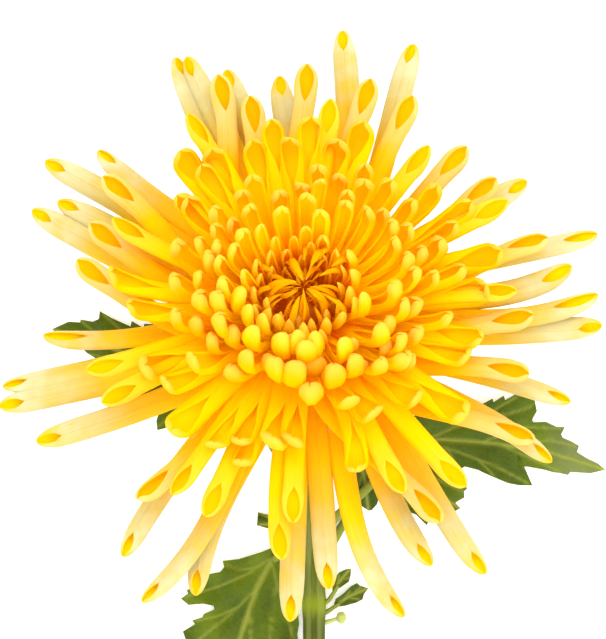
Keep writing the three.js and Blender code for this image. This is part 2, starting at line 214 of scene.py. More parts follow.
class Shader:
    def __init__(self, name):
        self.material = bpy.data.materials.new(name)
        self.material.use_nodes = True
        self.tree = self.material.node_tree
        self.tree.nodes.clear()

    def node(self, kind, settings, inputs, out=0):
        made = self.tree.nodes.new(kind)
        for key, value in settings.items():
            if key == "stops":
                ramp = made.color_ramp
                while len(ramp.elements) < len(value):
                    ramp.elements.new(0.5)
                for element, (place, colour) in zip(ramp.elements, value):
                    element.position = place
                    element.color = colour
            else:
                setattr(made, key, value)
        for key, value in inputs.items():
            if isinstance(value, Sock):
                self.tree.links.new(value.socket, made.inputs[key])
            else:
                made.inputs[key].default_value = value
        return Sock(self, made.outputs[out])

    def shades(self):
        # the four channels that each point of a piece carries
        shade = self.node("ShaderNodeAttribute", {"attribute_name": "shade"}, {}, "Color")
        parts = self.node("ShaderNodeSeparateColor", {}, {0: shade}, "Red")
        return parts, parts.out("Green"), parts.out("Blue"), shade.out("Alpha")

    def place(self):
        return self.node("ShaderNodeTexCoord", {}, {}, "Object")

    def mix(self, share, first, second):
        settings = {"data_type": "RGBA", "blend_type": "MIX", "clamp_factor": True}
        return self.node("ShaderNodeMix", settings, {0: share, 6: first, 7: second}, 2)

    def ramp(self, share, *stops):
        return self.node("ShaderNodeValToRGB", {"stops": stops}, {0: share})

    def noise(self, place, scale, detail, roughness=0.5):
        inputs = {"Vector": place, "Scale": scale, "Detail": detail, "Roughness": roughness}
        return self.node("ShaderNodeTexNoise", {}, inputs, "Fac")

    def finish(self, values, relief=None, through=0.0):
        # relief is a height, its strength and its depth in metres; through is the share of the light
        # that passes through in the base colour
        if relief:
            inputs = dict(zip(("Height", "Strength", "Distance"), relief))
            values = {**values, "Normal": self.node("ShaderNodeBump", {}, inputs)}
        surface = self.node("ShaderNodeBsdfPrincipled", {}, values)
        if through:
            passed = self.node("ShaderNodeBsdfTranslucent", {}, {"Color": values["Base Color"]})
            surface = self.node("ShaderNodeMixShader", {}, {0: through, 1: surface, 2: passed})
        output = self.tree.nodes.new("ShaderNodeOutputMaterial")
        self.tree.links.new(surface.socket, output.inputs["Surface"])
        return self.material


tones = {
    # the first tone here, ember, is painted shade for the crevices between the crowded florets' bases
    "paintedCreviceShade": srgb(222, 88, 0), "red": srgb(244, 132, 0), "deepOrange": srgb(255, 200, 0),
    "orange": srgb(255, 224, 0), "golden": srgb(255, 224, 0), "brightGold": srgb(255, 222, 0),
    "lemon": srgb(255, 206, 0), "paleLemon": srgb(255, 222, 96), "tipGold": srgb(255, 200, 0),
    "streak": srgb(222, 168, 40), "white": srgb(248, 240, 216),
    "rayOrange": srgb(253, 197, 0), "rayGold": srgb(244, 202, 6), "paleGold": srgb(220, 186, 50),
    "cream": srgb(204, 186, 98), "palest": srgb(205, 194, 136), "rayTip": srgb(238, 190, 24),
    "rayStreak": srgb(214, 168, 48), "rayMouth": srgb(255, 216, 0), "rayWhite": srgb(212, 207, 166),
    "sunGold": srgb(255, 202, 0), "sunCream": srgb(227, 206, 102), "sunPale": srgb(213, 202, 126),
    "pitOrange": srgb(244, 160, 0), "pitGold": srgb(248, 194, 0), "flesh": srgb(230, 110, 0),
    "leaf": srgb(79, 97, 0), "dark": srgb(52, 68, 0), "light": srgb(106, 122, 16),
    "grey": srgb(104, 111, 66), "vein": srgb(130, 136, 50), "stem": srgb(80, 92, 18),
    "stemDark": srgb(52, 64, 0), "rib": srgb(122, 124, 66), "pith": srgb(168, 176, 112),
    "bud": srgb(156, 162, 74), "fresh": srgb(122, 134, 14),
}
petalLook = {
    "roughness": 0.45, "specular": 0.02, "fibreShift": 0.14, "tintShift": 0.5, "cloudScale": 160.0,
    "patchFrom": 0.35, "patchBeyond": 0.6, "patchGain": 6.0, "streakGain": 1.6, "clouds": 0.6,
    "fibreRoughness": 0.2, "tipLeast": 0.4,
    # a painted glow: emission at the floret bases that stands in for light scattered inside the petals and
    # lifts the shade between them
    "paintedGlow": ((0.0, (0.26, 0.07, 0.0, 1.0)), (0.45, (0.14, 0.055, 0.0, 1.0)), (0.8, (0.0, 0.0, 0.0, 1.0))),
    "relief": 0.35, "reliefDepth": 0.0005,
}

# Tones from a floret's base to its tip, outside and inside its roll; how strong its streaks, pale tip (partly
# a painted highlight) and pale patches are, and their tones; its painted glow at the base, which stands in
# for light scattered inside the petals; and the light that passes through
petals = {
    "outerPetal": {
        "outside": ((0.0, "rayOrange"), (0.28, "rayGold"), (0.46, "rayGold"), (0.62, "paleGold"),
                    (0.78, "cream"), (0.92, "palest"), (1.0, "paleGold")),
        "inside": ((0.0, "orange"), (0.8, "rayMouth"), (1.0, "rayMouth")),
        "streaks": 1.6, "streak": "rayStreak", "tips": 1.0, "tip": "rayTip", "patches": 1.5,
        "patch": "rayWhite", "paintedGlowShare": 0.4, "through": 0.36},
    "sunnyPetal": {
        "outside": ((0.0, "red"), (0.14, "deepOrange"), (0.3, "orange"), (0.5, "sunGold"),
                    (0.64, "sunGold"), (0.8, "sunCream"), (1.0, "sunPale")),
        "inside": ((0.0, "red"), (0.2, "deepOrange"), (0.5, "orange"), (0.8, "sunGold"), (1.0, "tipGold")),
        "streaks": 0.8, "streak": "streak", "tips": 0.3, "tip": "paleLemon", "patches": 0.3,
        "patch": "white", "paintedGlowShare": 0.8, "through": 0.5},
    "goldenPetal": {
        # the deepest stops at the base are painted shade for the crevices between florets
        "outside": ((0.0, "paintedCreviceShade"), (0.1, "red"), (0.2, "deepOrange"), (0.34, "orange"), (0.6, "golden"),
                    (0.85, "golden"), (1.0, "lemon")),
        "inside": ((0.02, "paintedCreviceShade"), (0.16, "red"), (0.32, "deepOrange"), (0.5, "orange"),
                   (0.78, "brightGold"), (0.9, "sunGold"), (1.0, "tipGold")),
        "streaks": 0.5, "streak": "streak", "tips": 0.8, "tip": "paleLemon", "patches": 0.0,
        "paintedGlowShare": 1.0, "through": 0.6},
    "innerPetal": {
        "outside": ((0.0, "red"), (0.4, "pitOrange"), (0.75, "pitGold"), (0.93, "pitGold"), (1.0, "lemon")),
        "inside": ((0.0, "red"), (0.6, "pitOrange"), (1.0, "pitGold")),
        "streaks": 0.5, "streak": "streak", "tips": 0.1, "tip": "paleLemon", "patches": 0.0,
        "paintedGlowShare": 0.8, "through": 0.6},
}


def petalMaterial(name, marks):
    # colour runs from the base to the tip, by one scale outside and a deeper one inside the roll
    look = petalLook
    shader = Shader(name)
    along, within, tint, ending = shader.shades()
    grain = shader.node("ShaderNodeAttribute", {"attribute_name": "grain"}, {}, "Vector")
    fibre = shader.noise(grain, 1.0, 4.0, 0.6)
    cloud = shader.noise(shader.place(), look["cloudScale"], 2.0)
    place = along + (fibre - 0.5) * look["fibreShift"] + (tint - 0.5) * look["tintShift"]
    outside, inside = [[(at, tones[tone]) for at, tone in marks[side]] for side in ("outside", "inside")]
    colour = shader.ramp(place, *outside)
    streaks = (0.5 - fibre) * look["streakGain"] * marks["streaks"]
    colour = shader.mix(streaks, colour, tones[marks["streak"]])
    if marks["patches"]:
        patches = (cloud - look["patchFrom"]) * (along - look["patchBeyond"])
        colour = shader.mix(patches * look["patchGain"] * marks["patches"], colour, tones[marks["patch"]])
    # the tip tone: the florets' own paler or golden ends, and where it is paleLemon partly a painted
    # highlight
    colour = shader.mix(ending * (look["tipLeast"] + fibre) * marks["tips"], colour, tones[marks["tip"]])
    colour = shader.mix(within, colour, shader.ramp(place, *inside))
    colour = shader.mix((0.5 - cloud) * look["clouds"], colour, tones["golden"])
    # the emission paints a glow at the bases, standing in for light scattered inside the petals
    return shader.finish({
        "Base Color": colour, "Roughness": look["roughness"] + (fibre - 0.5) * look["fibreRoughness"],
        "Specular IOR Level": look["specular"], "Emission Color": shader.ramp(along, *look["paintedGlow"]),
        "Emission Strength": marks["paintedGlowShare"],
    }, (fibre, look["relief"], look["reliefDepth"]), marks["through"])


petalMaterials = {name: petalMaterial(name, marks) for name, marks in petals.items()}

# Height of the florets' tips over their distance from the bloom's axis
crownProfile = np.array([
    [0, 19], [5, 21], [10, 27], [15, 30], [20, 30], [26, 27], [30, 24], [36, 19], [42, 15], [50, 12],
    [60, 8.5], [90, 0]])
secondProfile = np.array([[40, 10], [50, 7], [60, 4.5], [90, -2]])
outerProfile = np.array([[45, -1], [60, -4], [70, -7], [90, -14]])

# Tips in plan: x, y, sideways bow, lift, roll of the opening in degrees. Clockwise from +Y.
outerTips = np.array([
    [9.2, 69.2, -2.4, 0, 10], [26, 66, -0.7, 0, 10], [52.5, 33.8, 0, 0, -20], [69, 21.4, -0.4, 1, 15],
    [62.8, 14, -4, 0, -10], [69, 7.2, -4, 1, 20], [70, 0, -1.4, -2, -30], [62.5, -18, 0.4, 0, 20],
    [58, -32, 1.8, 0, 25], [42.5, -58, -0.5, 0, 15], [30, -56, -2, 0, 10], [23.5, -68, -4.5, 0, 30],
    [6, -61.5, 0, 0, 0], [-3, -69, 0, 0, 0], [-25, -63, -3, -2.5, -10], [-37.5, -64.5, 4.5, 2.5, -30],
    [-42, -54, -1.5, 0, -20], [-62.3, -27.2, 1.5, 0, 25], [-71, -19, 0.5, 0, 20],
    [-70.2, -14.4, 0.7, 0, -20], [-60.8, -2.4, 2.3, 0, -25], [-63.5, 27, 1.2, 0, 20], [-57.5, 29, 0, 0, 0],
    [-60.5, 38.5, -0.7, 0, 10], [-48, 41, 1.1, 0, -20], [-29.9, 62.9, 1.3, 0, -25], [-27.4, 63, 0, 3, 30],
    [-18, 60, 0, 0, 10], [-5.5, 58.5, 0, 0, 0]])
secondTips = np.array([
    [1, 61.5, 0, 0, 0], [16, 58, 0, 0, 0], [25.8, 54, 0, 0, 0], [38.5, 42, 0, 0, 0],
    [45.5, 34.5, 0, -1.5, 10], [57.5, 20.5, 1, 0, 20], [54, 2.5, -1, 0, 0], [53, -11.5, 0.5, 0, 0],
    [54, -27, 0, -1.5, 20], [32, -46, 0, 0, 10], [-38.8, -40.6, 1.5, 0, -20], [-53, 15.5, 3, 0, 20],
    [-50, 24, 1.5, 0, 10], [-47, 35, 0, 0, 0], [-20, 59, 0, -0.8, 0], [-12.5, 54, 0, 0, 0]])
crownTips = np.array([
    [6.5, 53, 0], [14.5, 48, 0], [29.5, 42, 0], [47.8, 29.2, 0], [46.5, 17.5, 0], [50, 8, 0],
    [43, 9.5, 0], [42, -3, 0], [38.5, -7, 0], [38, -20.5, 0], [27, -17, 0], [38, -37.5, 0],
    [17, -20.5, 0], [23.5, -39, 0], [11.5, -18, 0], [12, -34, 3], [-2.5, -27, 0], [-2.5, -46, 0],
    [-5, -54.5, -1.5], [-7.5, -27.5, 0], [-15, -27, 0], [-14.5, -32, 0], [-22.8, -44.5, 0],
    [-21, -28, 0], [-30.5, -39.5, 0], [-31, -24.5, 0], [-32.5, -13.5, 0], [-47, -18, 0],
    [-26.5, -8, 0], [-37.5, -9.5, 0], [-50.5, -10.5, 0], [-41, 5, 0], [-45, 13, 2], [-44.5, 25, 2],
    [-27, 30, 0], [-29, 41, 0], [-24, 37.5, 0], [-27, 49.5, 0], [-21.5, 41.5, 0], [-12, 43.5, 0],
    [-7.5, 48.5, 0], [-3, 43.5, 0], [2, 49, 0], [8.5, 43.5, 0]])
domeTips = np.array([
    [-12, 32.5], [-14, 29], [-21, 25], [-12.5, 25.5], [-5, 25], [1, 28], [4, 24.5], [3.5, 35],
    [4, 31.5], [10.5, 29], [14.5, 35.5], [14.5, 31.5], [15, 25], [10, 26.5], [21, 22], [25, 21],
    [21.5, 18], [21, 31.5], [26, 27], [31.5, 30.5], [36, 21.5], [39.5, 26.5], [32.5, 18], [26.5, 11],
    [24.5, 14.5], [31, 10], [21.5, 7.5], [24, 3.5], [14.5, 5], [18.5, -2.5], [23.5, -4.5], [34.5, 0],
    [38, 11], [24.5, -9.5], [18.5, -10.5], [12.5, -10], [10, -6.5], [7.5, -12.5], [1.5, -17],
    [-1.5, -12.5], [-7, -11], [-13.5, -9], [0.5, -7], [3, -5], [-5, -5], [-12, -3.5], [-1.5, -5],
    [-19.5, 0], [-24.5, 5], [-30, 1], [-30.5, 9], [-29.5, 17], [-24.5, 18], [-21, 21], [-20, 17],
    [-22, 14.5], [-19.5, 13.5], [-24.5, 10], [-19, 8.5], [-15, 6], [-14, 10.5], [-20, 5], [-16, 16.5],
    [-14, 20], [-10, 21], [-13, 2], [-9.5, 0], [-8.5, 4], [-6, 0], [-29.5, 28]])

# Half widths at base, neck and head (mm) and how deep the roll is for its width; the head's length,
# its curl (degrees) over a length, how far back it is open and how wide (radians), how much of that
# is left at the very tip, the length of its rounded end and its bluntness, and how far back it is
# pale. Anchor 1 puts the outermost point over the plan place, 0 the tip itself. Late colours start
# further out.
longStyle = {"base": 1.15, "neck": 2.95, "head": 2.8, "depth": 0.5, "headLength": 12.0, "curl": 10.0,
             "curlLength": 8.0, "openLength": 6.0, "open": 0.7, "lip": 0.5, "round": 8.0, "blunt": 0.5,
             "paleLength": 3.6, "ridge": 0.03, "anchor": 1.0, "wall": 0.35, "late": 0.0, "rings": 40,
             "headRings": 22, "sides": 15}
spoonStyle = {**longStyle, "base": 1.0, "neck": 2.5, "head": 2.85, "depth": 0.55, "headLength": 13.0,
              "curl": 34.0, "curlLength": 6.0, "openLength": 10.5, "open": 0.75, "round": 5.2,
              "paleLength": 9.0, "rings": 36, "sides": 14}
crownStyle = {**longStyle, "base": 0.8, "head": 3.1, "headLength": 11.0, "curl": 70.0, "curlLength": 6.0,
              "openLength": 12.0, "open": 0.9, "lip": 0.35, "round": 4.0, "paleLength": 3.5,
              "rings": 26, "headRings": 18, "sides": 10}
domeStyle = {**crownStyle, "neck": 2.45, "head": 2.6, "depth": 0.88, "curl": 58.0, "curlLength": 9.5,
             "openLength": 16.0, "open": 0.8, "lip": 0.24, "round": 3.6, "blunt": 0.42,
             "paleLength": 3.6, "ridge": 0.11, "anchor": 0.5}
clawStyle = {**longStyle, "base": 0.4, "depth": 0.6, "headLength": 9.0, "curl": 25.0, "curlLength": 7.0,
             "openLength": 9.0, "open": 1.0, "round": 7.0, "blunt": 0.7, "paleLength": 2.0,
             "anchor": 0.0, "wall": 0.25, "rings": 22, "headRings": 14, "sides": 8}


def tipPoints(places, lifts, profile, start=10.0, steps=16, pull=0.6):
    # the point over each plan place whose height follows the profile at its distance from the axis
    height = np.full(len(places), start)
    for step in range(steps):
        across = (places[:, 1] - height * sinLean) / cosLean
        wanted = np.interp(np.hypot(places[:, 0], across), profile[:, 0], profile[:, 1]) + lifts
        height = height + (wanted - height) * pull
    return np.column_stack([places[:, 0], across, height])


def outward(azimuth):
    # the level direction (cos, sin, 0)
    return np.array([math.cos(azimuth), math.sin(azimuth), 0.0])


def rising(azimuth, degrees):
    # that direction lifted: cos * outward + sin * axis
    angle = math.radians(degrees)
    return outward(azimuth) * math.cos(angle) + axis * math.sin(angle)


def seatPoint(azimuth, degrees):
    # a point over the receptacle's dome: radius * sin outwards and height * cos up
    angle = math.radians(degrees)
    gap = bloom["seatGap"]
    level = axis * (bloom["height"] + gap) * math.cos(angle)
    return outward(azimuth) * (bloom["radius"] + gap) * math.sin(angle) + level


def bezier(points, count):
    # sum of binomial(n, k) s^k (1 - s)^(n - k) times control point k
    s = np.linspace(0, 1, count)[:, None]
    last = len(points) - 1
    return sum(math.comb(last, k) * s ** k * (1 - s) ** (last - k) * p for k, p in enumerate(points))


floretShape = {"samples": 80, "headMost": 0.7, "crowding": 1.35, "bowGain": 2.25, "overhang": 0.35,
               "settle": 1.6, "neckAt": 0.37, "headRate": 1.7, "tipWidth": 0.1, "seam": 0.006,
               "gapeShare": 0.75, "gapePower": 0.4, "lipLength": 2.5, "wallMost": 0.5, "rollRate": 1.4,
               "tintSpread": 0.24, "tintStep": 0.37, "grainRound": 5.5, "grainAlong": 0.06, "grainApart": 40}


def floretLine(tip, baseAzimuth, bow, whorl, style):
    # a Bezier line from the seat to the tip, sampled closely at the head, whose last stretch curls
    # towards the bloom's axis
    shape = floretShape
    azimuth = math.atan2(tip[1], tip[0])
    outer, side = outward(azimuth), outward(azimuth + math.pi / 2)
    base = seatPoint(baseAzimuth, whorl["seat"])
    reach = np.linalg.norm(tip - base)
    lead = base + rising(baseAzimuth, whorl["rise"]) * reach * whorl["leadShare"]
    ending = unit(rising(azimuth + whorl["swing"], whorl["tipRise"]) + skyward * whorl["skyward"])
    trail = tip - ending * reach * whorl["trailShare"] + side * bow * shape["bowGain"]
    dense = bezier([base, lead, trail, tip], shape["samples"])
    travelled = travel(dense)
    length = travelled[-1]
    head = min(style["headLength"], shape["headMost"] * length)
    body = np.linspace(0, length - head, style["rings"] - style["headRings"], endpoint=False)
    end = length - head * (1 - np.linspace(0, 1, style["headRings"])) ** shape["crowding"]
    at = np.concatenate([body, end])
    line = between(at, travelled, dense)
    tangent = unit(np.gradient(line, at, axis=0))
    front = unit(np.cross(tangent, side))
    fromTip = length - at
    curl = math.radians(style["curl"]) * smooth(1 - fromTip / style["curlLength"])
    bent = tangent * np.cos(curl)[:, None] + front * np.sin(curl)[:, None]
    steps = 0.5 * (bent[1:] + bent[:-1]) * np.diff(at)[:, None]
    curled = line[0] + np.concatenate([np.zeros((1, 3)), np.cumsum(steps, axis=0)])
    thick = style["head"] * style["depth"] * math.sin(min(math.radians(style["curl"]), math.pi / 2))
    distance = curled @ outer
    furthest = np.max(distance) + shape["overhang"] * thick
    reached = style["anchor"] * furthest + (1 - style["anchor"]) * distance[-1]
    level = curled[np.argmax(distance), 2] if style["anchor"] == 1 else np.max(curled[:, 2])
    missing = outer * (tip @ outer - reached) + axis * (tip[2] - level)  # what the curl took from its reach
    return curled + (at / length)[:, None] ** shape["settle"] * missing, fromTip, length, side


def floretShell(line, fromTip, length, side, style, roll, seed):
    # a C-shaped wall carried along the line: angle t runs round the back from one lip to the other,
    # outer point = line + side * width * sin(t) + front * depth * cos(t), inner point a wall closer
    shape = floretShape
    tangent = unit(np.gradient(line, axis=0))
    front = unit(np.cross(tangent, side))
    across = np.cross(front, tangent)
    along = (length - fromTip) / length
    turn = math.radians(roll) * smooth(along * shape["rollRate"])[:, None]
    front, across = (front * np.cos(turn) + across * np.sin(turn),
                     across * np.cos(turn) - front * np.sin(turn))
    width = style["base"] + (style["neck"] - style["base"]) * smooth(along / shape["neckAt"])
    headShare = smooth(shape["headRate"] * (1 - fromTip / style["headLength"]))
    width = width + (style["head"] - style["neck"]) * headShare
    rounding = 1 - (1 - np.clip(fromTip / style["round"], 0, 1)) ** 2
    width = width * np.maximum(rounding ** style["blunt"], shape["tipWidth"])
    gape = smooth((style["openLength"] - fromTip) / (shape["gapeShare"] * style["openLength"]))
    lip = style["lip"] + (1 - style["lip"]) * smooth(fromTip / shape["lipLength"])
    opening = shape["seam"] + (style["open"] - shape["seam"]) * gape ** shape["gapePower"] * lip
    count = style["sides"]
    spread = np.linspace(-1, 1, count)[None, :] * (math.pi - opening)[:, None]
    angle = math.pi + spread
    swell = 1 + style["ridge"] * (np.cos(3 * spread + seed) + 0.5 * np.cos(5 * spread + 2 * seed))
    wall = np.minimum(style["wall"], shape["wallMost"] * width)[:, None]
    loops = []
    for inset in (0, 1):
        wide = ((width[:, None] - inset * wall) * swell * np.sin(angle))[..., None]
        deep = ((width[:, None] * style["depth"] - inset * wall) * swell * np.cos(angle))[..., None]
        loop = line[:, None, :] + across[:, None, :] * wide + front[:, None, :] * deep
        loops.append(loop[:, ::-1] if inset else loop)
    points = np.concatenate(loops, axis=1)
    blank = np.zeros(points.shape[:2])
    within = blank + np.repeat([0, 1], count)
    # the pale tip's share: partly the florets' own paler ends, partly a painted highlight
    ending = blank + smooth((style["paleLength"] - fromTip) / style["paleLength"])[:, None]
    tint = blank + 0.5 + shape["tintSpread"] * ((seed * shape["tintStep"]) % 1 - 0.5) - style["late"]
    shade = np.stack([blank + along[:, None], within, tint, ending], -1)
    grain = np.stack([np.concatenate([spread, spread[:, ::-1]], axis=1) * shape["grainRound"],
                      blank + (length - fromTip)[:, None] * shape["grainAlong"],
                      tint * shape["grainApart"] + seed], -1)
    return points, shade, grain


def addFlorets(name, node, material, florets):
    # one piece from florets given as tip, base azimuth, bow, roll, seed, whorl and style
    shells = []
    for tip, azimuth, bow, roll, seed, whorl, style in florets:
        line = floretLine(tip, azimuth, bow, whorl, style)
        points, shade, grain = floretShell(*line, style, roll, seed)
        faces = closedFaces(*points.shape[:2])
        shells.append((points.reshape(-1, 3), faces, shade.reshape(-1, 4), grain.reshape(-1, 3)))
    points, faces, shade, grain = joined(shells)
    addPiece(name, node, toPlan(points), faces, petalMaterials[material], shade, grain,
             2 * style["sides"])


evenShare = 0.75


def evenAzimuths(tips):
    # base azimuths part of the way from the tips' own to even spacing in the same order
    found = np.arctan2(tips[:, 1], tips[:, 0])
    order = np.argsort(found)
    even = np.arange(len(tips)) * 2 * math.pi / len(tips)
    level = even + np.mean(found[order] - even)
    azimuths = np.empty(len(tips))
    azimuths[order] = found[order] * (1 - evenShare) + level * evenShare
    return azimuths


# Where a whorl sits (degrees from the axis), how steeply its florets start and end (degrees), which
# tips lie on the ground, which florets stay golden further out, and openings of other lengths
plainWhorl = {"leadShare": 0.38, "trailShare": 0.36, "swing": 0.0, "skyward": 0.0, "seedStep": 1.7,
              "goldenLate": 0.26, "grounded": (), "golden": (), "openings": {}}
outerWhorl = {**plainWhorl, "profile": outerProfile, "seat": 86, "rise": -3, "tipRise": -12,
              "firstSeed": 0.3, "grounded": (0, 1, 25), "groundedTip": 1.9, "golden": (11, 20),
              "openings": {3: 9.0, 4: 9.0, 5: 12.0, 20: 11.0}}
secondWhorl = {**plainWhorl, "profile": secondProfile, "seat": 66, "rise": 18, "tipRise": -4,
               "firstSeed": 5.1}


def addWhorl(prefix, nodePrefix, table, whorl, style, material):
    # a piece for each floret; a grounded tip is turned by the lean from its place and height in plan
    tips = tipPoints(table[:, :2], table[:, 3], whorl["profile"])
    for index in whorl["grounded"]:
        drop = whorl["groundedTip"] - bloom["headHeight"]
        x, y = table[index, :2]
        tips[index] = [x, y * cosLean - drop * sinLean, y * sinLean + drop * cosLean]
    azimuths = evenAzimuths(tips)
    for i, tip in enumerate(tips):
        shape = {**style, "late": whorl["goldenLate"] * (i in whorl["golden"]),
                 "openLength": whorl["openings"].get(i, style["openLength"])}
        seed = whorl["firstSeed"] + i * whorl["seedStep"]
        number = f"{i + 1:02d}"
        addFlorets(prefix + number, nodePrefix + number, material,
                   [(tip, azimuths[i], table[i, 2], table[i, 4], seed, whorl, shape)])


addWhorl("outerFloret", "outer_floret_", outerTips, outerWhorl, longStyle, "outerPetal")
addWhorl("secondFloret", "second_floret_", secondTips, secondWhorl, spoonStyle, "sunnyPetal")
print("long florets made")

# Bands of extra florets: plan area for each, the band's distances from the axis, how far below the
# profile, how clear of their neighbours for their width. Raised is how far the dome's places are
# moved up the plan; the extra florets sink towards the near side, and none stands past southEdge.
# Seat and rise change out to a distance of wide. Size, length, curl and depth are drawn between two
# limits; the rest is how much a floret changes towards the far side (north), beside the axis (aside)
# and close to it (inner).
crowd = {
    "bands": ((11.0, 7.0, 14.0, 1.4, 0.66), (19.0, 14.0, 31.0, 2.6, 0.8)), "raised": 2.4,
    "southSunk": 4.0, "sunkFrom": 9.0, "sunkFade": 6.0, "southEdge": 20.0,
    "leastWidth": 1.25, "widthGain": 1.8, "widthFrom": 4.0, "widthFade": 15.0, "fullWidth": 2.85,
    "wide": 45, "seat": (16, 34), "rise": (88, -52), "distances": (6, 14, 24, 34, 46),
    "tipRises": (104, 88, 66, 38, 4), "skyward": 0.36, "skywardFade": 14, "trailShare": 0.42,
    "seed": 7, "seedStep": 1.3, "size": (0.82, 1.12), "length": (0.85, 1.2), "curl": (-26, 14),
    "depth": (0.76, 1.06), "roll": 25, "swing": 0.3, "tipRise": 12, "steady": 0.2,
    "northWithin": 36, "northFade": 10, "northSize": 0.2, "northCurl": 0.4, "northDepth": 0.3,
    "asideSize": 0.14, "asideCurl": 24, "asideCurlLength": 0.2, "innerFrom": 9, "innerFade": 12,
    "innerCurl": 25, "innerBlunt": 0.25, "innerRound": 0.7, "fixedLength": 0.6,
    "late": 0.9, "lateFrom": 8, "lateFade": 17, "narrowFrom": 49.0,
}
narrowStyle = {"round": 7.0, "curl": 15.0, "openLength": 9.0, "lip": 0.5, "paleLength": 16.0, "neck": 2.5,
               "head": 2.7}


def crowdedWhorl(tip):
    # nearer the axis a floret seats higher and rises more steeply; its end leans out by its distance
    # and a little to the sky
    distance = math.hypot(tip[0], tip[1])
    share = min(distance / crowd["wide"], 1)
    towards = smooth((crowd["distances"][-1] - distance) / crowd["skywardFade"])
    (seat, seatGain), (rise, riseGain) = crowd["seat"], crowd["rise"]
    return {**plainWhorl, "seat": seat + seatGain * share, "rise": rise + riseGain * share,
            "tipRise": float(np.interp(distance, crowd["distances"], crowd["tipRises"])),
            "skyward": crowd["skyward"] * float(towards), "trailShare": crowd["trailShare"]}


def headWidth(distance):
    # half width of a crowded floret's head: it grows with distance from the axis
    growth = smooth((distance - crowd["widthFrom"]) / crowd["widthFade"])
    return crowd["leastWidth"] + crowd["widthGain"] * growth


def fillerTips(taken):
    # a golden-angle spiral, point i at distance sqrt(share * i / pi), without those closer to a
    # floret than a share of their own width
    kept = list(taken)
    for share, least, most, sunk, clear in crowd["bands"]:
        i = np.arange(int(math.pi * least ** 2 / share), int(math.pi * most ** 2 / share))
        distance = np.sqrt(share * i / math.pi)
        azimuth = i * math.pi * (3 - math.sqrt(5))
        level = np.interp(distance, crownProfile[:, 0], crownProfile[:, 1]) - sunk
        south = np.minimum(np.sin(azimuth), 0) * smooth((distance - crowd["sunkFrom"]) / crowd["sunkFade"])
        level = level + south * crowd["southSunk"]
        spots = turned(distance, azimuth, level)
        for spot in spots[spots[:, 1] > -crowd["southEdge"]]:
            room = clear * 2 * headWidth(math.hypot(spot[0], spot[1]))
            if np.min(np.linalg.norm(np.array(kept) - spot, axis=1)) > room:
                kept.append(spot)
    return np.array(kept[len(taken):])


def crowdedStyle(tip, spoon, draw):
    # a crowded floret's style: its size follows headWidth, and five draws vary it
    kind = crownStyle if spoon else domeStyle
    limits = [crowd[key] for key in ("size", "length", "length", "curl", "depth")]
    sizeDraw, curlLengthDraw, roundDraw, curlDraw, depthDraw = [draw.uniform(*pair) for pair in limits]
    distance = math.hypot(tip[0], tip[1])
    farSide = max(tip[1] / max(distance, 1), 0)
    north = farSide * float(smooth((crowd["northWithin"] - distance) / crowd["northFade"]))
    inner = 1 - float(smooth((distance - crowd["innerFrom"]) / crowd["innerFade"]))
    aside = abs(math.cos(math.atan2(tip[1], tip[0]))) * (not spoon)
    # near the axis the colour shifts to a deeper orange: partly the inner florets' own colour, partly painted
    # shade in the pit's hollow
    late = crowd["late"] * (1 - float(smooth((distance - crowd["lateFrom"]) / crowd["lateFade"])))
    size = float(headWidth(distance)) / crowd["fullWidth"] * sizeDraw * (1 - crowd["northSize"] * north)
    size = size * (1 - crowd["asideSize"] * aside)
    length = crowd["fixedLength"] + (1 - crowd["fixedLength"]) * size
    curlLength = kind["curlLength"] * (1 - crowd["northCurl"] * north + crowd["asideCurlLength"] * aside)
    style = {
        **kind, "neck": kind["neck"] * size, "head": kind["head"] * size,
        "curlLength": curlLength * length * curlLengthDraw,
        "round": kind["round"] * length * roundDraw * (1 + crowd["innerRound"] * inner),
        "curl": kind["curl"] - crowd["asideCurl"] * aside + curlDraw - crowd["innerCurl"] * inner,
        "depth": kind["depth"] * (1 - crowd["northDepth"] * north) * depthDraw,
        "blunt": kind["blunt"] + crowd["innerBlunt"] * inner, "late": late * (not spoon)}
    return {**style, **narrowStyle} if distance > crowd["narrowFrom"] else style


def addCrown():
    # the spoons, the dome and the fillers as one piece; only the spoons keep close to their lines
    places = np.concatenate([crownTips[:, :2], domeTips + np.array([0.0, crowd["raised"]])])
    tips = tipPoints(places, 0.0, crownProfile)
    fillers = fillerTips(tips)
    tips = np.concatenate([tips, fillers])
    spoons = len(crownTips)
    bows = np.concatenate([crownTips[:, 2], np.zeros(len(tips) - spoons)])
    draw = np.random.default_rng(crowd["seed"])
    rolls = swerve(draw, crowd["roll"], len(tips))
    styles = [crowdedStyle(tip, i < spoons, draw) for i, tip in enumerate(tips)]
    whorls = [crowdedWhorl(tip) for tip in tips]
    for i, whorl in enumerate(whorls):
        share = crowd["steady"] if i < spoons else 1.0
        whorl["swing"] = share * swerve(draw, crowd["swing"])
        whorl["tipRise"] += share * swerve(draw, crowd["tipRise"])
    print("crown florets:", len(tips), "of them fillers:", len(fillers))
    azimuths = np.arctan2(tips[:, 1], tips[:, 0])
    seeds = np.arange(len(tips)) * crowd["seedStep"]
    addFlorets("crownFlorets", "crown_florets", "goldenPetal",
               list(zip(tips, azimuths, bows, rolls, seeds, whorls, styles)))


addCrown()
print("crown florets made")

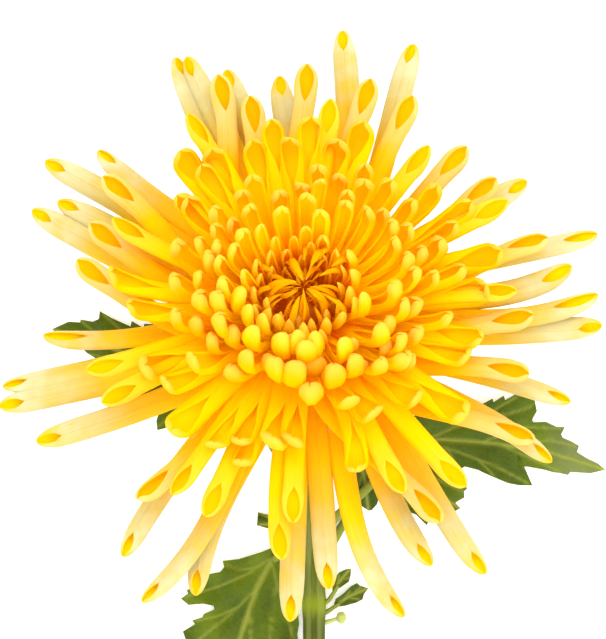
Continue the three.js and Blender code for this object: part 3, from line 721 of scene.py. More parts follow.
# Rings round the pit: distance of the tips from the axis, their height, florets, half width, and
# how far out each floret bulges; the rest is how the florets are drawn apart and how they bend
pit = {
    "rings": ({"tip": 5.8, "level": 25.4, "count": 20, "width": 0.9, "bulge": 8.6, "late": 0.1},
              {"tip": 4.6, "level": 23.6, "count": 19, "width": 0.58, "bulge": 7.6, "late": 0.2},
              {"tip": 3.2, "level": 22.5, "count": 26, "width": 0.46, "bulge": 6.8, "late": 0.5},
              {"tip": 1.8, "level": 20.6, "count": 22, "width": 0.28, "bulge": 4.8, "late": 0.7}),
    "seed": 11, "seedStep": 2.1, "turn": 0.4, "level": 2.2, "asideX": 1.6, "asideY": 0.9,
    "reach": (-0.1, 1.25), "seat": 10, "seatGain": 2, "rise": 62, "riseSpread": 6, "tipRise": 172,
    "leadShare": 0.5, "bulgeLength": 19, "width": (0.75, 1.2), "neck": 0.8, "roll": 35,
}


def addCentre():
    # each floret leans out to its bulge and bends in to its tip
    draw = np.random.default_rng(pit["seed"])
    florets = []
    for ring in pit["rings"]:
        for i in range(ring["count"]):
            azimuth = (i + swerve(draw, pit["turn"])) * 2 * math.pi / ring["count"]
            level = ring["level"] + swerve(draw, pit["level"])
            aside = [swerve(draw, pit[key]) for key in ("asideX", "asideY")]
            tip = outward(azimuth) * ring["tip"] * draw.uniform(*pit["reach"]) + [*aside, level]
            rise = pit["rise"] + swerve(draw, pit["riseSpread"])
            whorl = {**plainWhorl, "seat": pit["seat"] + pit["seatGain"] * ring["bulge"], "rise": rise,
                     "tipRise": pit["tipRise"], "leadShare": pit["leadShare"],
                     "trailShare": ring["bulge"] / pit["bulgeLength"]}
            width = ring["width"] * draw.uniform(*pit["width"])
            style = {**clawStyle, "neck": pit["neck"] * width, "head": width, "late": ring["late"]}
            roll = swerve(draw, pit["roll"])
            florets.append((tip, azimuth, 0.0, roll, len(florets) * pit["seedStep"], whorl, style))
    addFlorets("centreFlorets", "centre_florets", "innerPetal", florets)


addCentre()
print("centre florets made")

plantLook = {"blotchScale": 90.0, "cellScale": 900.0, "fineScale": 1400.0, "specular": 0.15,
             "scatter": (0.4, 0.8, 0.1), "scatterScale": 0.001, "relief": 0.45, "reliefDepth": 0.00025,
             "blotches": (0.3, 0.52, 0.75), "cellEdge": 0.12, "cellGain": 2.2, "fineDark": 0.5,
             "fineRoughness": 0.25, "raised": (0.35, 0.3, 0.02)}
plants = {
    "leafGreen": {"base": "leaf", "dark": "dark", "light": "light", "veinTone": "vein", "pale": 0.75,
                  "cells": 0.45, "vein": 0.85, "roughness": 0.55, "subsurface": 0.1},
    "bractGreen": {"base": "leaf", "dark": "dark", "light": "light", "veinTone": "fresh", "pale": 0.3,
                   "cells": 0.4, "vein": 0.6, "roughness": 0.6, "subsurface": 0.1},
    "budGreen": {"base": "bud", "dark": "fresh", "light": "pith", "veinTone": "pith", "pale": 0.2,
                 "cells": 0.3, "vein": 0.7, "roughness": 0.55, "subsurface": 0.2},
}


def plantMaterial(name, options):
    # blotches between dark and light, veins from the first channel and a paler underside from the last
    base, dark, light, veinTone = [tones[options[key]] for key in ("base", "dark", "light", "veinTone")]
    look = plantLook
    shader = Shader(name)
    vein, apart, edge, pale = shader.shades()
    place = shader.place()
    blotch = shader.noise(place, look["blotchScale"], 4.0, 0.6)
    cells = shader.node("ShaderNodeTexVoronoi", {"feature": "DISTANCE_TO_EDGE"},
                        {"Vector": place, "Scale": look["cellScale"]}, "Distance")
    fine = shader.noise(place, look["fineScale"], 3.0, 0.6)
    colour = shader.ramp(blotch, *zip(look["blotches"], (dark, base, light)))
    colour = shader.mix(0.0 - pale, colour, dark)
    colour = shader.mix(pale * options["pale"], colour, tones["grey"])
    colour = shader.mix((look["cellEdge"] - cells) * look["cellGain"] * options["cells"], colour, light)
    colour = shader.mix(vein * options["vein"], colour, veinTone)
    colour = shader.mix((fine - 0.5) * look["fineDark"], colour, dark)
    raised, veinRaised, edgeRaised = look["raised"]
    height = fine * raised + cells * options["cells"] * 3
    height = height + (0.0 - vein) * veinRaised + (apart + edge) * edgeRaised
    return shader.finish({
        "Base Color": colour, "Roughness": options["roughness"] + (fine - 0.5) * look["fineRoughness"],
        "Subsurface Weight": options["subsurface"], "Subsurface Radius": look["scatter"],
        "Subsurface Scale": look["scatterScale"], "Specular IOR Level": look["specular"],
    }, (height, look["relief"], look["reliefDepth"]))


stemLook = {"stretch": (1.0, 0.06, 1.0), "fibreScale": 1500.0, "fuzzScale": 2600.0, "roughness": 0.55,
            "scatter": (0.5, 0.8, 0.2), "scatterScale": 0.0012, "specular": 0.12, "relief": 0.5,
            "reliefDepth": 0.0003, "dark": 0.75, "ribFrom": 0.55, "ribs": 1.1, "fresh": 0.7,
            "blotches": (0.3, 0.5, 0.72), "fuzzRoughness": 0.3, "subsurface": 0.12}


def stemGreen():
    # pale ribs on grey green, darker below the node, a fresh green ring at it and a pithy cut end
    look = stemLook
    shader = Shader("stemGreen")
    rib, node, cut, below = shader.shades()
    place = shader.place()
    stretched = shader.node("ShaderNodeMapping", {}, {"Vector": place, "Scale": look["stretch"]})
    fibre = shader.noise(stretched, look["fibreScale"], 4.0, 0.65)
    fuzz = shader.noise(place, look["fuzzScale"], 2.0)
    stops = zip(look["blotches"], (tones["stemDark"], tones["stem"], tones["rib"]))
    colour = shader.ramp(fibre, *stops)
    colour = shader.mix(below * look["dark"], colour, tones["stemDark"])
    colour = shader.mix((rib - look["ribFrom"]) * look["ribs"], colour, tones["rib"])
    colour = shader.mix(node * look["fresh"], colour, tones["fresh"])
    colour = shader.mix(cut, colour, tones["pith"])
    return shader.finish({
        "Base Color": colour, "Roughness": look["roughness"] + (fuzz - 0.5) * look["fuzzRoughness"],
        "Subsurface Weight": look["subsurface"], "Subsurface Radius": look["scatter"],
        "Subsurface Scale": look["scatterScale"], "Specular IOR Level": look["specular"],
    }, (fibre * 0.6 + fuzz * 0.4, look["relief"], look["reliefDepth"]))


fleshLook = {"pitScale": 700.0, "speckleScale": 500.0, "pits": 0.9, "speckles": 0.6, "roughness": 0.6,
             "relief": 0.4, "reliefDepth": 0.0004}


def fleshTone():
    # the receptacle: orange flesh speckled where the florets stand
    look = fleshLook
    shader = Shader("receptacleFlesh")
    place = shader.place()
    pits = shader.node("ShaderNodeTexVoronoi", {}, {"Vector": place, "Scale": look["pitScale"]}, "Distance")
    speckle = shader.noise(place, look["speckleScale"], 3.0)
    colour = shader.mix(pits * look["pits"], tones["flesh"], tones["deepOrange"])
    colour = shader.mix((speckle - 0.5) * look["speckles"], colour, tones["golden"])
    return shader.finish({"Base Color": colour, "Roughness": look["roughness"] + (speckle - 0.5) * 0.2},
                         (pits, look["relief"], look["reliefDepth"]))


greens = {name: plantMaterial(name, options) for name, options in plants.items()}

# The cup that holds the receptacle, and the rows of bracts on it
cup = {"wall": 1.1, "waist": 0.86, "flare": (1.6, 1.4, 2.6), "waistLevel": 0.48, "rim": (-0.9, 0.5),
       "around": 48, "gap": 0.05, "shade": (0.3, 0.0, 0.5, 0.0),
       "rows": 3, "count": 17, "halfWidth": 2.1, "thick": 0.35, "start": 0.2, "startSpread": 0.03,
       "length": 0.42, "lengthSpread": 0.06, "lift": 0.22, "bulge": 0.3, "tipLift": 0.25,
       "outline": (0.12, 0.86, 0.6), "turn": 0.12, "vein": 0.18, "grid": (10, 7), "seed": 3}
cupFloor = -bloom["depth"] - bloom["seatGap"]
cupFoot = cupFloor - cup["wall"]
cupWaist = bloom["radius"] * cup["waist"]
cupRadius = np.array([0.0, bloom["footRadius"] + cup["wall"], cupWaist + cup["flare"][0],
                      bloom["radius"] + cup["flare"][1], bloom["radius"] + cup["flare"][2]])
cupLevel = np.array([cupFoot, cupFoot, -bloom["depth"] * cup["waistLevel"], *cup["rim"]])


def revolved(radii, levels, around, pinhole=0.02):
    # a profile turned about the axis; its ends lie on the axis, drawn in to a pinhole
    angle = circle(around)
    points = turned(np.maximum(radii, pinhole)[:, None], angle, levels[:, None] + 0 * angle)
    return points.reshape(-1, 3), closedFaces(len(radii), around)[:, ::-1]


receptacle = {"waistLevel": 0.4, "arcs": 12, "around": 40}


def addReceptacle():
    # the dome cos/sin arc above and the cup's inside below
    arc = np.radians(np.linspace(90, 0, receptacle["arcs"]))
    radii = np.concatenate([[0, bloom["footRadius"], cupWaist], bloom["radius"] * np.sin(arc)])
    lower = -bloom["depth"] * np.array([1, 1, receptacle["waistLevel"]])
    levels = np.concatenate([lower, bloom["height"] * np.cos(arc)])
    points, faces = revolved(radii, levels, receptacle["around"])
    addPiece("receptacle", "receptacle", toPlan(points), faces, fleshTone())


def addInvolucre():
    # a thin cup, and rows of pointed bracts on it: each follows the cup's profile along t and spans
    # half width * sin(pi (0.12 + 0.86 t))^0.6 across v, bulging by 1 - v^2
    radii = np.concatenate([cupRadius[:4], cupRadius[3:0:-1] - cup["wall"], [0.0]])
    levels = np.concatenate([cupLevel[:4], cupLevel[3:0:-1] + cup["gap"], [cupFloor]])
    cupPoints, cupFaces = revolved(radii, levels, cup["around"])
    shapes = [(cupPoints, cupFaces, np.tile(cup["shade"], (len(cupPoints), 1)))]
    draw = np.random.default_rng(cup["seed"])
    place = np.linspace(0, 1, len(cupRadius))
    rows, columns = cup["grid"]
    t, v = np.meshgrid(np.linspace(0, 1, rows), np.linspace(-1, 1, columns), indexing="ij")
    foot, growth, power = cup["outline"]
    width = cup["halfWidth"] * np.sin(math.pi * np.clip(foot + growth * t, 0, 1)) ** power
    for row in range(cup["rows"]):
        for i in range(cup["count"]):
            start = cup["start"] * (1 + row) + swerve(draw, cup["startSpread"])
            along = start + t * (cup["length"] + draw.uniform(0, cup["lengthSpread"]))
            ring = np.interp(along, place, cupRadius)
            level = np.interp(along, place, cupLevel)
            lift = (cup["rows"] - row) * cup["lift"]
            reach = ring + lift + cup["bulge"] * (1 - v ** 2) + cup["tipLift"] * t
            turn = i + 0.5 * row + swerve(draw, cup["turn"])
            angle = turn * 2 * math.pi / cup["count"] + v * width / ring
            inner = reach - cup["thick"]
            points, faces = slab(turned(reach, angle, level), turned(inner, angle, level + cup["gap"]))
            vein = np.exp(-(v / cup["vein"]) ** 2)
            shade = np.stack([vein, t, np.abs(v), 0 * t + draw.uniform()], -1).reshape(-1, 4)
            shapes.append((points, faces[:, ::-1], np.concatenate([shade, shade])))
    points, faces, shade = joined(shapes)
    addPiece("involucre", "involucre", toPlan(points), faces, greens["bractGreen"], shade)


# The stem's sideways places are shares of its offset at distances along -Y. Dish is the cut end:
# how far back each ring lies and what share of the radius it has.
stem = {"radius": 2.8, "end": -190.0, "offset": 2.6, "neckShare": 0.8, "swayAt": (60, 100, 145, 190),
        "sway": (1, 1, 0.6, 0.3), "relaxed": 8, "neckRings": 60, "rings": 150, "ribs": 6, "rib": 0.06,
        "twist": 0.02, "skin": 0.12, "most": 0.05, "node": -65.5, "nodeSwell": 0.32, "nodeLength": 2.2,
        "nodeRibs": 0.7, "belowFade": 6, "dish": (-0.02, 0.25, 0.5), "dishRadius": (0.86, 0.5, 0.05),
        "onward": 0.3, "ribLevel": 0.8, "around": 48, "topGap": 0.3}
stemFoot = cupFoot - stem["topGap"]
stemTop = np.array([0.0, stemFoot * sinLean, bloom["headHeight"] + stemFoot * cosLean])
neckTurn = math.pi / 2 - bloom["lean"]
neckRadius = (stemTop[2] - stem["radius"]) / (1 - math.cos(neckTurn))


def tube(line, wide, deep, around, swell=1):
    # rings round a line: point = line + side * wide * cos(a) + front * deep * sin(a), ends closed
    tangent = unit(np.gradient(line, axis=0))
    side = unit(np.cross(tangent, axis + 1e-6))
    front = np.cross(side, tangent)
    angle = circle(around)[None, :]
    ringWide = (wide[:, None] * swell * np.cos(angle))[..., None]
    ringDeep = (deep[:, None] * swell * np.sin(angle))[..., None]
    points = line[:, None, :] + side[:, None, :] * ringWide + front[:, None, :] * ringDeep
    return points.reshape(-1, 3), closedFaces(len(line), around)


def stemLine():
    # an arc from under the bloom down to the surface, then along -Y
    turn = np.linspace(neckTurn, 0, stem["neckRings"])
    neck = np.stack([stem["offset"] * (1 - turn / neckTurn) ** 2 * stem["neckShare"],
                     stemTop[1] - neckRadius * (math.sin(neckTurn) - np.sin(turn)),
                     stem["radius"] + neckRadius * (1 - np.cos(turn))], -1)
    y = np.linspace(neck[-1, 1], stem["end"], stem["rings"])[1:]
    shares = np.array([stem["neckShare"], *stem["sway"]])
    x = np.interp(-y, [-neck[-1, 1], *stem["swayAt"]], shares * stem["offset"])
    window = 2 * stem["relaxed"] + 1
    x = np.convolve(np.pad(x, stem["relaxed"], mode="edge"), np.ones(window) / window, mode="valid")
    return np.concatenate([neck, np.stack([x, y, 0 * y + stem["radius"]], -1)])


def addStem():
    # ribs run along it as |cos(ribs * angle / 2)|, a ring swells at the node, and a shallow dish ends
    # the cut
    line = stemLine()
    around, cutRings = stem["around"], len(stem["dish"])
    node = np.exp(-((line[:, 1] - stem["node"]) / stem["nodeLength"]) ** 2)
    radius = stem["radius"] - stem["skin"] + stem["nodeSwell"] * node
    radius = np.minimum(radius, stem["radius"] + stem["most"])
    radius = np.concatenate([radius, radius[-1] * np.array(stem["dishRadius"])])
    line = np.concatenate([line, line[-1] + np.outer(stem["dish"], skyward)])
    node = np.append(node, np.zeros(cutRings))[:, None]
    blank = np.zeros((len(line), around))
    angle = circle(around)[None, :]
    ribbed = stem["rib"] * (1 - stem["nodeRibs"] * node)
    ribAngle = 0.5 * stem["ribs"] * angle
    ribs = np.abs(np.cos(ribAngle + stem["twist"] * line[:, 1:2]))
    swell = 1 + ribbed * (ribs - stem["ribLevel"])
    straight = line.copy()  # the dish's rings run straight on here, and are moved back into it below
    straight[-cutRings:, 1] = line[-cutRings - 1, 1] - stem["onward"] * np.arange(1, cutRings + 1)
    points, faces = tube(straight, radius, radius, around, swell)
    points[-cutRings * around:, 1] = np.repeat(line[-cutRings:, 1], around)
    fromCut = (np.arange(len(line)) >= len(line) - cutRings)[:, None]
    below = smooth((stem["node"] - line[:, 1:2]) / stem["belowFade"])
    ribMark = np.abs(np.cos(ribAngle))
    shade = np.stack([blank + mark for mark in (ribMark, node, fromCut, below)], -1).reshape(-1, 4)
    addPiece("stem", "stem", points, faces, stemGreen(), shade)


leafShape = {"thick": 0.38, "columns": 12, "rows": 110, "veinDip": 0.28, "veinWidth": 0.3, "sideVein": 0.6,
             "veinApart": 4.0, "bulge": 0.45, "bulgeReach": 2.2, "foldReach": 6.0, "foldGain": 2.5,
             "waveReach": 7.0, "waveX": 0.55, "waveY": 0.35, "clear": 0.04}
petioleShape = {"into": 1.3, "rings": 30, "relaxed": 3, "thickest": 1.15, "taper": 0.35, "flat": 0.85,
                "around": 14, "shade": (0.75, 0.2, 0.2, 0.2)}


def ruled(margin, midrib, skew):
    # margin points matched to the midrib by their place along its chord, kept in order; skew moves
    # a point back by that share of its distance from the chord, as side veins slant forward
    margin = np.array([midrib[0], *margin, midrib[-1]])
    chord = midrib[-1] - midrib[0]
    across = np.abs((margin - midrib[0]) @ np.array([-chord[1], chord[0]]))
    place = np.clip(((margin - midrib[0]) @ chord - skew * across) / (chord @ chord), 0, 1)
    place = np.maximum.accumulate(place) + np.arange(len(place)) * 1e-4
    return (place - place[0]) / (place[-1] - place[0]), margin


def nearLine(points, line):
    # distance in plan from every point to a polyline
    line = np.array(line, float)
    best = np.full(points.shape[:-1], np.inf)
    for start, stop in zip(line[:-1], line[1:]):
        run = stop - start
        share = np.clip((points - start) @ run / (run @ run), 0, 1)
        best = np.minimum(best, np.linalg.norm(points - start - share[..., None] * run, axis=-1))
    return best


def blade(leaf):
    # point(t, v) = midrib(t) + |v| * (margin(t) - midrib(t)); the height adds a slope, a fold along
    # the midrib, waves, sunk veins and a bulge between them
    shape = leafShape
    midrib = np.array(leaf["midrib"], float)
    sides = [ruled(leaf[side], midrib, leaf["skew"]) for side in ("left", "right")]
    t = np.unique(np.concatenate([np.linspace(0, 1, shape["rows"]), sides[0][0], sides[1][0]]))
    travelled = travel(midrib)
    rib = between(t * travelled[-1], travelled, midrib)
    v = np.linspace(-1, 1, 2 * shape["columns"] + 1)
    share = np.abs(v)[None, :, None]
    edge = np.where(v[None, :, None] < 0, *[between(t, place, margin)[:, None, :] for place, margin in sides])
    plan = rib[:, None, :] * (1 - share) + edge * share
    marks = np.zeros(plan.shape[:2])
    far = np.full(plan.shape[:2], np.inf)
    for line, weight in [(midrib, 1.0)] + [(line, shape["sideVein"]) for line in leaf["veins"]]:
        distance = nearLine(plan, line)
        reach = shape["veinWidth"] * (0.5 + weight)
        marks = np.maximum(marks, weight * np.exp(-(distance / reach) ** 2))
        far = np.minimum(far, distance)
    x, y = plan[..., 0], plan[..., 1]
    fromRib = nearLine(plan, midrib)
    offset, slopeX, slopeY = leaf["tilt"]
    waves = np.sin(x * shape["waveX"] + y * shape["waveY"] + leaf["seed"])
    height = offset + slopeX * x + slopeY * y
    height += leaf["fold"] * (1 - np.exp(-fromRib / shape["foldReach"])) * shape["foldGain"]
    height += leaf["wave"] * waves * smooth(fromRib / shape["waveReach"])
    height += shape["bulge"] * (1 - np.exp(-(far / shape["bulgeReach"]) ** 2)) - shape["veinDip"] * marks
    height = np.maximum(height, shape["thick"] + shape["clear"])
    top = np.concatenate([plan, height[..., None]], -1)
    points, faces = slab(top, top - axis * shape["thick"])
    paleFrom, paleRun = leaf.get("paleFrom", (np.inf, 1))
    pale = smooth((x - paleFrom) / paleRun)
    pale = pale - leaf["deep"] * (1 - pale)
    apart = np.clip(far / shape["veinApart"], 0, 1)
    shade = np.stack([marks, apart, np.abs(v) + 0 * x, pale], -1).reshape(-1, 4)
    underShade = shade.copy()
    underShade[:, 3] = 1.0
    corners = points[faces[:(len(t) - 1) * (len(v) - 1)]]
    normal = np.cross(corners[:, 1] - corners[:, 0], corners[:, 2] - corners[:, 0])
    if normal[:, 2].sum() < 0:
        faces = faces[:, ::-1]
    return points, faces, np.concatenate([shade, underShade])


def petiole(line, thickness):
    # a thin round stalk through given points, a little thicker at the stem and run on into it
    shape = petioleShape
    line = np.array(line, float)
    core = stemLine()
    nearest = core[np.argmin(np.linalg.norm(core - line[0], axis=1))]
    line = np.concatenate([[line[0] + unit(nearest - line[0]) * shape["into"]], line])
    share = np.linspace(0, 1, shape["rings"])
    line = between(share, np.linspace(0, 1, len(line)), line)
    for step in range(shape["relaxed"]):
        line[1:-1] = (line[:-2] + 2 * line[1:-1] + line[2:]) / 4
    radius = thickness * (shape["thickest"] - shape["taper"] * share)
    points, faces = tube(line, radius, radius * shape["flat"], shape["around"])
    return points, faces, np.tile(shape["shade"], (len(points), 1))


# Margins run from the midrib's start to its end, which both share. Tilt is the height and its slopes
# along X and Y; deep darkens the leaf, which turns pale over a run past an X where one is given.
plainLeaf = {"tilt": (0.9, 0.0, 0.0), "deep": 0.9, "skew": 0.0, "stalk": 1.1, "fold": 0.12, "wave": 0.1}
leaves = {
    "leafRight": {
        **plainLeaf, "node": "leaf_right", "tilt": (5.8, -0.075, 0.0), "fold": 0.25, "wave": 0.5,
        "seed": 0.4, "paleFrom": (50, 14), "deep": 0.6, "skew": 0.9,
        "left": [[22.5, -24.5], [26, -21.3], [28.5, -20.5], [35, -19.5], [42.3, -18.4], [44.5, -17.2],
                 [44.7, -18.1], [47.1, -16.5], [47.4, -17.6], [50, -16.1], [54.3, -17.2], [54.9, -20.2],
                 [53.8, -22.1], [54, -22.8], [57, -22.7], [59.5, -23.9], [61.5, -23.9], [60.6, -25.6],
                 [60.9, -26.4], [63.2, -27.4], [64.8, -28.3], [64.3, -29.8], [66.9, -31.4],
                 [69.3, -32.5]],
        "right": [[24, -31], [29.5, -32.3], [33, -33], [36.9, -33.8], [38, -33.2], [41, -34],
                  [42.9, -34.9], [45.9, -36.2], [48.1, -37.1], [50.7, -37.6], [53.9, -37.7],
                  [53.2, -36.4], [52, -35], [50.4, -33.3], [52.5, -33.2], [56.3, -33.9], [58.8, -34.6],
                  [60, -34.7], [62.2, -35.2], [62.7, -34.5], [67.5, -34.8]],
        "midrib": [[22, -28.2], [32, -27], [45, -27.8], [58, -30], [71, -34]],
        "veins": [[[28, -27.3], [36, -24], [44, -20.5], [50, -17]],
                  [[28, -27.5], [37, -30], [46, -33.5], [53, -37.3]], [[42, -27.5], [52, -24], [61, -24.3]],
                  [[50, -28.5], [58, -27], [64, -28.5]], [[46, -28], [54, -31.5], [60, -34.3]],
                  [[35, -24.4], [39, -20]], [[40, -22.2], [48, -21], [54, -19]], [[34, -29], [36, -33]],
                  [[41, -31.5], [45, -35.5]]],
        "petiole": [[5.2, -47.2, 3.1], [6.2, -46.5, 3.4], [10.5, -42.5, 5.2], [15.5, -38, 6.6],
                    [20, -32.5, 5.4], [26, -28, 4]]},
    "leafLowerRight": {
        **plainLeaf, "node": "leaf_lower_right", "fold": 0.2, "wave": 0.3, "seed": 1.7,
        "paleFrom": (28, 16), "skew": 0.4,
        "left": [[24, -27.5], [29.5, -30.5], [33, -33], [35.5, -35], [38.2, -37], [38.5, -38.5],
                 [37.8, -39], [37.9, -40.5], [36.6, -40.7], [35.6, -42], [35, -41]],
        "right": [[18.5, -29], [18.6, -33], [20, -37], [22, -39.5], [23, -42.5], [24.8, -43.8],
                  [26.5, -44.5], [29, -47], [30, -45.2], [32, -45], [34, -44.6]],
        "midrib": [[19, -25.5], [24, -33], [30, -39], [37, -43]],
        "veins": [[[22, -30], [28, -32.5], [35, -36]], [[24.5, -33.5], [31, -36], [37.5, -39]],
                  [[22.5, -31], [22, -36], [24.5, -42]], [[27, -36], [27, -41], [29, -46]]],
        "petiole": [[5.0, -53.2, 2.0], [6.4, -52, 1.6], [9.5, -46.5, 1.2], [15.5, -38, 1.1],
                    [21, -31, 1.1]]},
    "leafFolded": {
        **plainLeaf, "node": "leaf_folded", "tilt": (15.4, 0.0, 0.3), "fold": 0.15, "wave": 0.15,
        "seed": 0.9, "deep": 1.0, "skew": 0.2, "stalk": 0.8,
        "left": [[13.5, -27], [16, -31], [17.2, -34], [17.6, -37], [18, -40], [17.4, -42], [16.2, -43.4]],
        "right": [[9, -27], [9.2, -30], [9.9, -33.5], [10.6, -37], [11.2, -38.8], [10.9, -39.6],
                  [11.8, -39.9], [12, -40.8], [13, -42]],
        "midrib": [[10, -24], [13, -31], [14.6, -37], [15.4, -43.6]],
        "veins": [[[12.2, -29], [15.5, -33]], [[13.6, -33.5], [17, -38]], [[12.5, -30], [10.5, -35]],
                  [[14, -35], [12.2, -40]]],
        "petiole": [[4, -19.5, 9.6], [6.5, -22, 8.9], [11, -26.5, 7.2]]},
    "leafLeft": {
        **plainLeaf, "node": "leaf_left", "fold": 0.25, "wave": 0.4, "seed": 2.2, "deep": 0.55,
        "skew": 0.6,
        "left": [[-17, -23.5], [-19.5, -23.2], [-25, -22], [-29, -23], [-32.7, -24.3], [-34.2, -24.7],
                 [-34.4, -22.5], [-33.8, -20.5], [-34.5, -19], [-39, -18.6], [-43.2, -16.9],
                 [-44.5, -14.5], [-43, -12.5], [-46.5, -10.5], [-48, -8.2], [-50.8, -6.5],
                 [-52.5, -4.6], [-56, -3.2]],
        "right": [[-14, -11.5], [-20, -7.5], [-26, -4], [-30.6, -1.6], [-32.7, 0.2], [-37.3, 0.3],
                  [-37.4, -0.7], [-40.2, 1.0], [-40.5, -0.3], [-45, 1.7], [-47.7, 3.3], [-47.9, 1.4],
                  [-49.4, 0.8], [-52.2, 1.3], [-52.3, 0.6], [-55, 0.8]],
        "midrib": [[-11, -17.5], [-25, -13], [-42, -6.5], [-59, -1]],
        "veins": [[[-20, -14.7], [-28, -8], [-37, -1]], [[-30, -11], [-38, -5.5], [-47, 2.6]],
                  [[-20, -15], [-28, -18], [-34, -24]], [[-30, -11.2], [-37, -13.5], [-43, -16.5]],
                  [[-40, -7.4], [-46, -8], [-50, -6.8]], [[-42, -6.5], [-48, -2.5], [-52, 0.8]]],
        "petiole": [[-2.1, -39, 2.6], [-6, -30, 1.4], [-14, -18.5, 1.1]]},
    "leafLowerLeft": {
        **plainLeaf, "node": "leaf_lower_left", "fold": 0.3, "wave": 0.45, "seed": 0.2, "deep": 0.25,
        "skew": 0.6,
        "left": [[-9.6, -53.2], [-14.7, -54.8], [-17.5, -55.9], [-18.9, -55.3], [-18.5, -56.8],
                 [-19.4, -57.9], [-21.9, -58.4], [-24, -60.7], [-27.3, -62.2], [-27, -63],
                 [-28.7, -64.2], [-26.9, -65.7], [-23.5, -65.4], [-21, -65.9], [-20.8, -66.7],
                 [-23.3, -67.8], [-23.6, -68.6], [-26, -69.3], [-25.4, -70.2], [-28.2, -71.9],
                 [-27.4, -74.2], [-30, -77], [-26.5, -78.5], [-24.3, -79.3], [-21.8, -81],
                 [-24, -83.2], [-25, -86], [-22.6, -88]],
        "right": [[-4.3, -54], [-2.6, -59.5], [-1.4, -65.3], [-0.9, -70], [-1.3, -72.6], [-0.9, -76],
                  [-3.2, -77], [-2.6, -80.4], [-6, -80.9], [-10, -80.7], [-10.8, -83.6], [-10, -87.3],
                  [-13.6, -88.4], [-15, -91.4], [-18.8, -91]],
        "midrib": [[-5.5, -51.5], [-8.5, -57.5], [-10.8, -61.7], [-12.4, -66], [-14.5, -73], [-18, -83],
                   [-22, -92.5]],
        "veins": [[[-7, -54.3], [-13, -58.5], [-20, -61.5], [-28, -64]],
                  [[-10.8, -61.7], [-16, -67], [-21.5, -71.5], [-28, -76.5]],
                  [[-12.4, -66], [-12.3, -73], [-10.5, -80], [-10.8, -86.5]],
                  [[-14.5, -73], [-19, -79], [-24, -85]],
                  [[-7.4, -56], [-5.7, -62], [-3.5, -69], [-1.8, -75.5]],
                  [[-16.5, -78.5], [-16, -84], [-15.5, -90]], [[-11, -57], [-15, -57.6], [-18.5, -56]],
                  [[-15.5, -66.4], [-20, -68.4], [-25, -69.5]], [[-6, -61], [-7.5, -68], [-7.5, -76]]],
        "petiole": [[-0.1, -53.5, 2.5], [-0.8, -53.4, 2.2], [-2.8, -53.2, 1.6], [-7, -55, 1.2]]},
    "bractLeft": {
        **plainLeaf, "node": "bract_left", "tilt": (2.6, 0.2, 0.0), "fold": 0.1, "seed": 0.1,
        "stalk": 0.6,
        "left": [[-5.5, -48.3], [-8, -47.8]],
        "right": [[-5, -45.8], [-8, -44.6], [-10.6, -43.9], [-9, -45.4], [-8.6, -46]],
        "midrib": [[-3.5, -47.5], [-7, -46.8], [-11, -47]], "veins": [[[-5, -47], [-8, -45.3], [-10.4, -44]]],
        "petiole": [[-0.1, -50.3, 2.6], [-0.95, -49.8, 2.4], [-3, -48.8, 2], [-5, -47.8, 1.8]]},
    "shootLeafUpper": {
        **plainLeaf, "node": "shoot_leaf_upper", "tilt": (6.0, -0.3, 0.0), "seed": 0.5, "stalk": 0.55,
        "left": [[8.8, -61.6], [10.8, -60.2], [11.2, -58.6]],
        "right": [[6.8, -60.6], [7.3, -59.4], [8.5, -58], [10, -57.3]],
        "midrib": [[6.9, -62.4], [8.8, -60], [11.3, -57.1]],
        "veins": [[[8.3, -60.6], [8.4, -58.8]], [[9.2, -59.6], [11, -59.4]]],
        "petiole": [[5.1, -65.2, 3.3], [6.2, -64.4, 3.7], [7.2, -62.8, 3.8], [8.2, -61.2, 3.7]]},
    "shootLeafLower": {
        **plainLeaf, "node": "shoot_leaf_lower", "tilt": (4.3, -0.25, 0.0), "wave": 0.12, "seed": 1.5,
        "skew": 0.2, "stalk": 0.55,
        "left": [[9.8, -65.9], [12.4, -65.2], [14, -64.4], [14.3, -63.2]],
        "right": [[7.6, -64.3], [9.6, -62.9], [11.2, -61.3], [12.7, -60.5], [13.2, -61.1]],
        "midrib": [[7, -66.3], [10.8, -63.8], [15.4, -61.8]],
        "veins": [[[9.4, -64.8], [11, -62.6]], [[11.4, -63.5], [13.6, -61.6]], [[10.4, -64], [13, -64.4]]],
        "petiole": [[5.2, -67.5, 2.5], [6.1, -67, 2.4], [7.2, -66.2, 2.5], [8.6, -65.4, 2.6]]},
}
budShape = {"centre": (9.0, -68.6, 3.2), "radius": 1.5, "long": 0.8, "wide": 0.95, "ribs": 7, "rib": 0.06,
            "rings": 22, "around": 28, "thickness": 0.55, "pole": 0.01,
            "stalk": [[5.2, -69.8, 2.7], [6, -69.6, 2.8], [7.2, -69.2, 3], [8.2, -68.8, 3.1]]}


def addBud():
    # a round bud, its radius ribbed by cos(7 angle) and drawn in towards the top, on a short stalk
    rings, around, radius = budShape["rings"], budShape["around"], budShape["radius"]
    polar = np.linspace(budShape["pole"], math.pi - budShape["pole"], rings)
    angle = circle(around)
    wave = np.cos(budShape["ribs"] * angle)
    x, y, z = budShape["centre"]
    line = np.stack([x - budShape["long"] * radius * np.cos(polar), y + 0 * polar, z + 0 * polar], -1)
    wide = budShape["wide"] * radius * np.sin(polar)
    points, faces = tube(line, wide, wide, around, 1 + budShape["rib"] * wave[None, :])
    along = np.repeat(polar / math.pi, around)
    shade = np.stack([np.tile((wave + 1) / 2, rings) * 0.6, along, along, 0.3 + 0 * along], -1)
    stalk = petiole(budShape["stalk"], budShape["thickness"])
    points, faces, shade = joined([(points, faces, shade), stalk])
    addPiece("bud", "bud", points, faces, greens["budGreen"], shade)


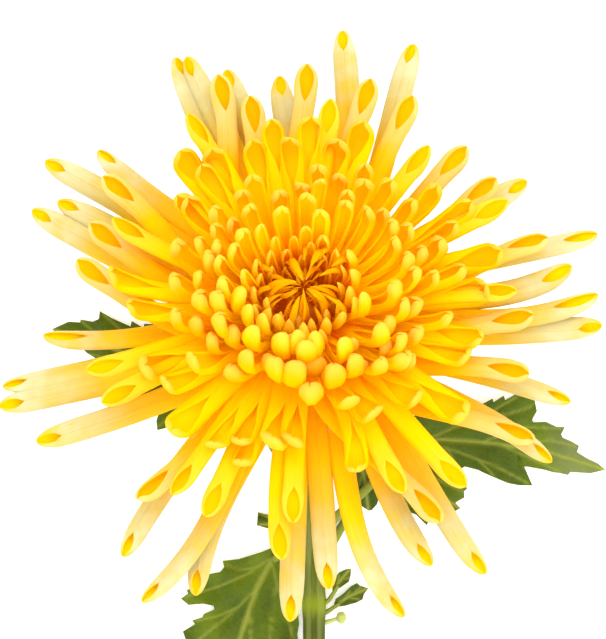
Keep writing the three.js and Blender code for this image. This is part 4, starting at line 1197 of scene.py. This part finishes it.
addReceptacle()
addInvolucre()
addStem()
print("receptacle, involucre and stem made")
for leafName, leaf in leaves.items():
    leafPoints, leafFaces, leafShade = joined([blade(leaf), petiole(leaf["petiole"], leaf["stalk"])])
    addPiece(leafName, leaf["node"], leafPoints, leafFaces, greens["leafGreen"], leafShade)
addBud()
print("leaves and bud made")

studio = {
    "viewCentre": (0.0, 1.3), "viewHeight": 149.1, "viewLevel": 36.0, "distance": 6000.0, "sensor": 36.0,
    "world": 2.1, "sky": (0.975, 1.0, 0.96, 1.0), "floor": 0.86, "floorGlow": 0.35, "floorHalf": 2,
    "lamps": {"keyLamp": ((0.15, 0.9, 1.2), 0.8, 6.0), "fillLamp": ((0.5, -0.8, 1.2), 1.2, 8.0)},
    "aim": (0.0, 0.0, 0.03),
}


def addStudio():
    scene = bpy.context.scene
    camera = bpy.data.cameras.new("camera")
    camera.sensor_width = studio["sensor"]
    camera.lens = studio["sensor"] * studio["distance"] / studio["viewHeight"]
    scene.camera = newObject("camera", camera)
    centre = np.array([*studio["viewCentre"], studio["viewLevel"] + studio["distance"]]) + rowShift
    scene.camera.location = centre * metres

    scene.world = bpy.data.worlds.new("studio")
    scene.world.use_nodes = True
    background = scene.world.node_tree.nodes["Background"]
    background.inputs["Color"].default_value = studio["sky"]
    background.inputs["Strength"].default_value = studio["world"]

    for name, (place, size, power) in studio["lamps"].items():
        lamp = bpy.data.lights.new(name, "AREA")
        lamp.size = size
        lamp.energy = power
        holder = newObject(name, lamp)
        holder.location = place
        back = unit(np.array(place) - np.array(studio["aim"]))
        holder.rotation_euler = (math.acos(back[2]), 0.0, math.atan2(back[1], back[0]) + math.pi / 2)
        holder.visible_camera = False

    mesh = bpy.data.meshes.new("floor")
    half = studio["floorHalf"]
    mesh.from_pydata([(-half, -half, 0), (half, -half, 0), (half, half, 0), (-half, half, 0)], [],
                     [(0, 1, 2, 3)])
    pale = (*[studio["floor"]] * 3, 1.0)
    mesh.materials.append(Shader("floor").finish({
        "Base Color": pale, "Roughness": 0.8, "Specular IOR Level": 0.1,
        "Emission Color": (1.0, 1.0, 1.0, 1.0), "Emission Strength": studio["floorGlow"]}))
    newObject("floor", mesh)
    scene.view_settings.view_transform = "Standard"


addStudio()
print("studio made")
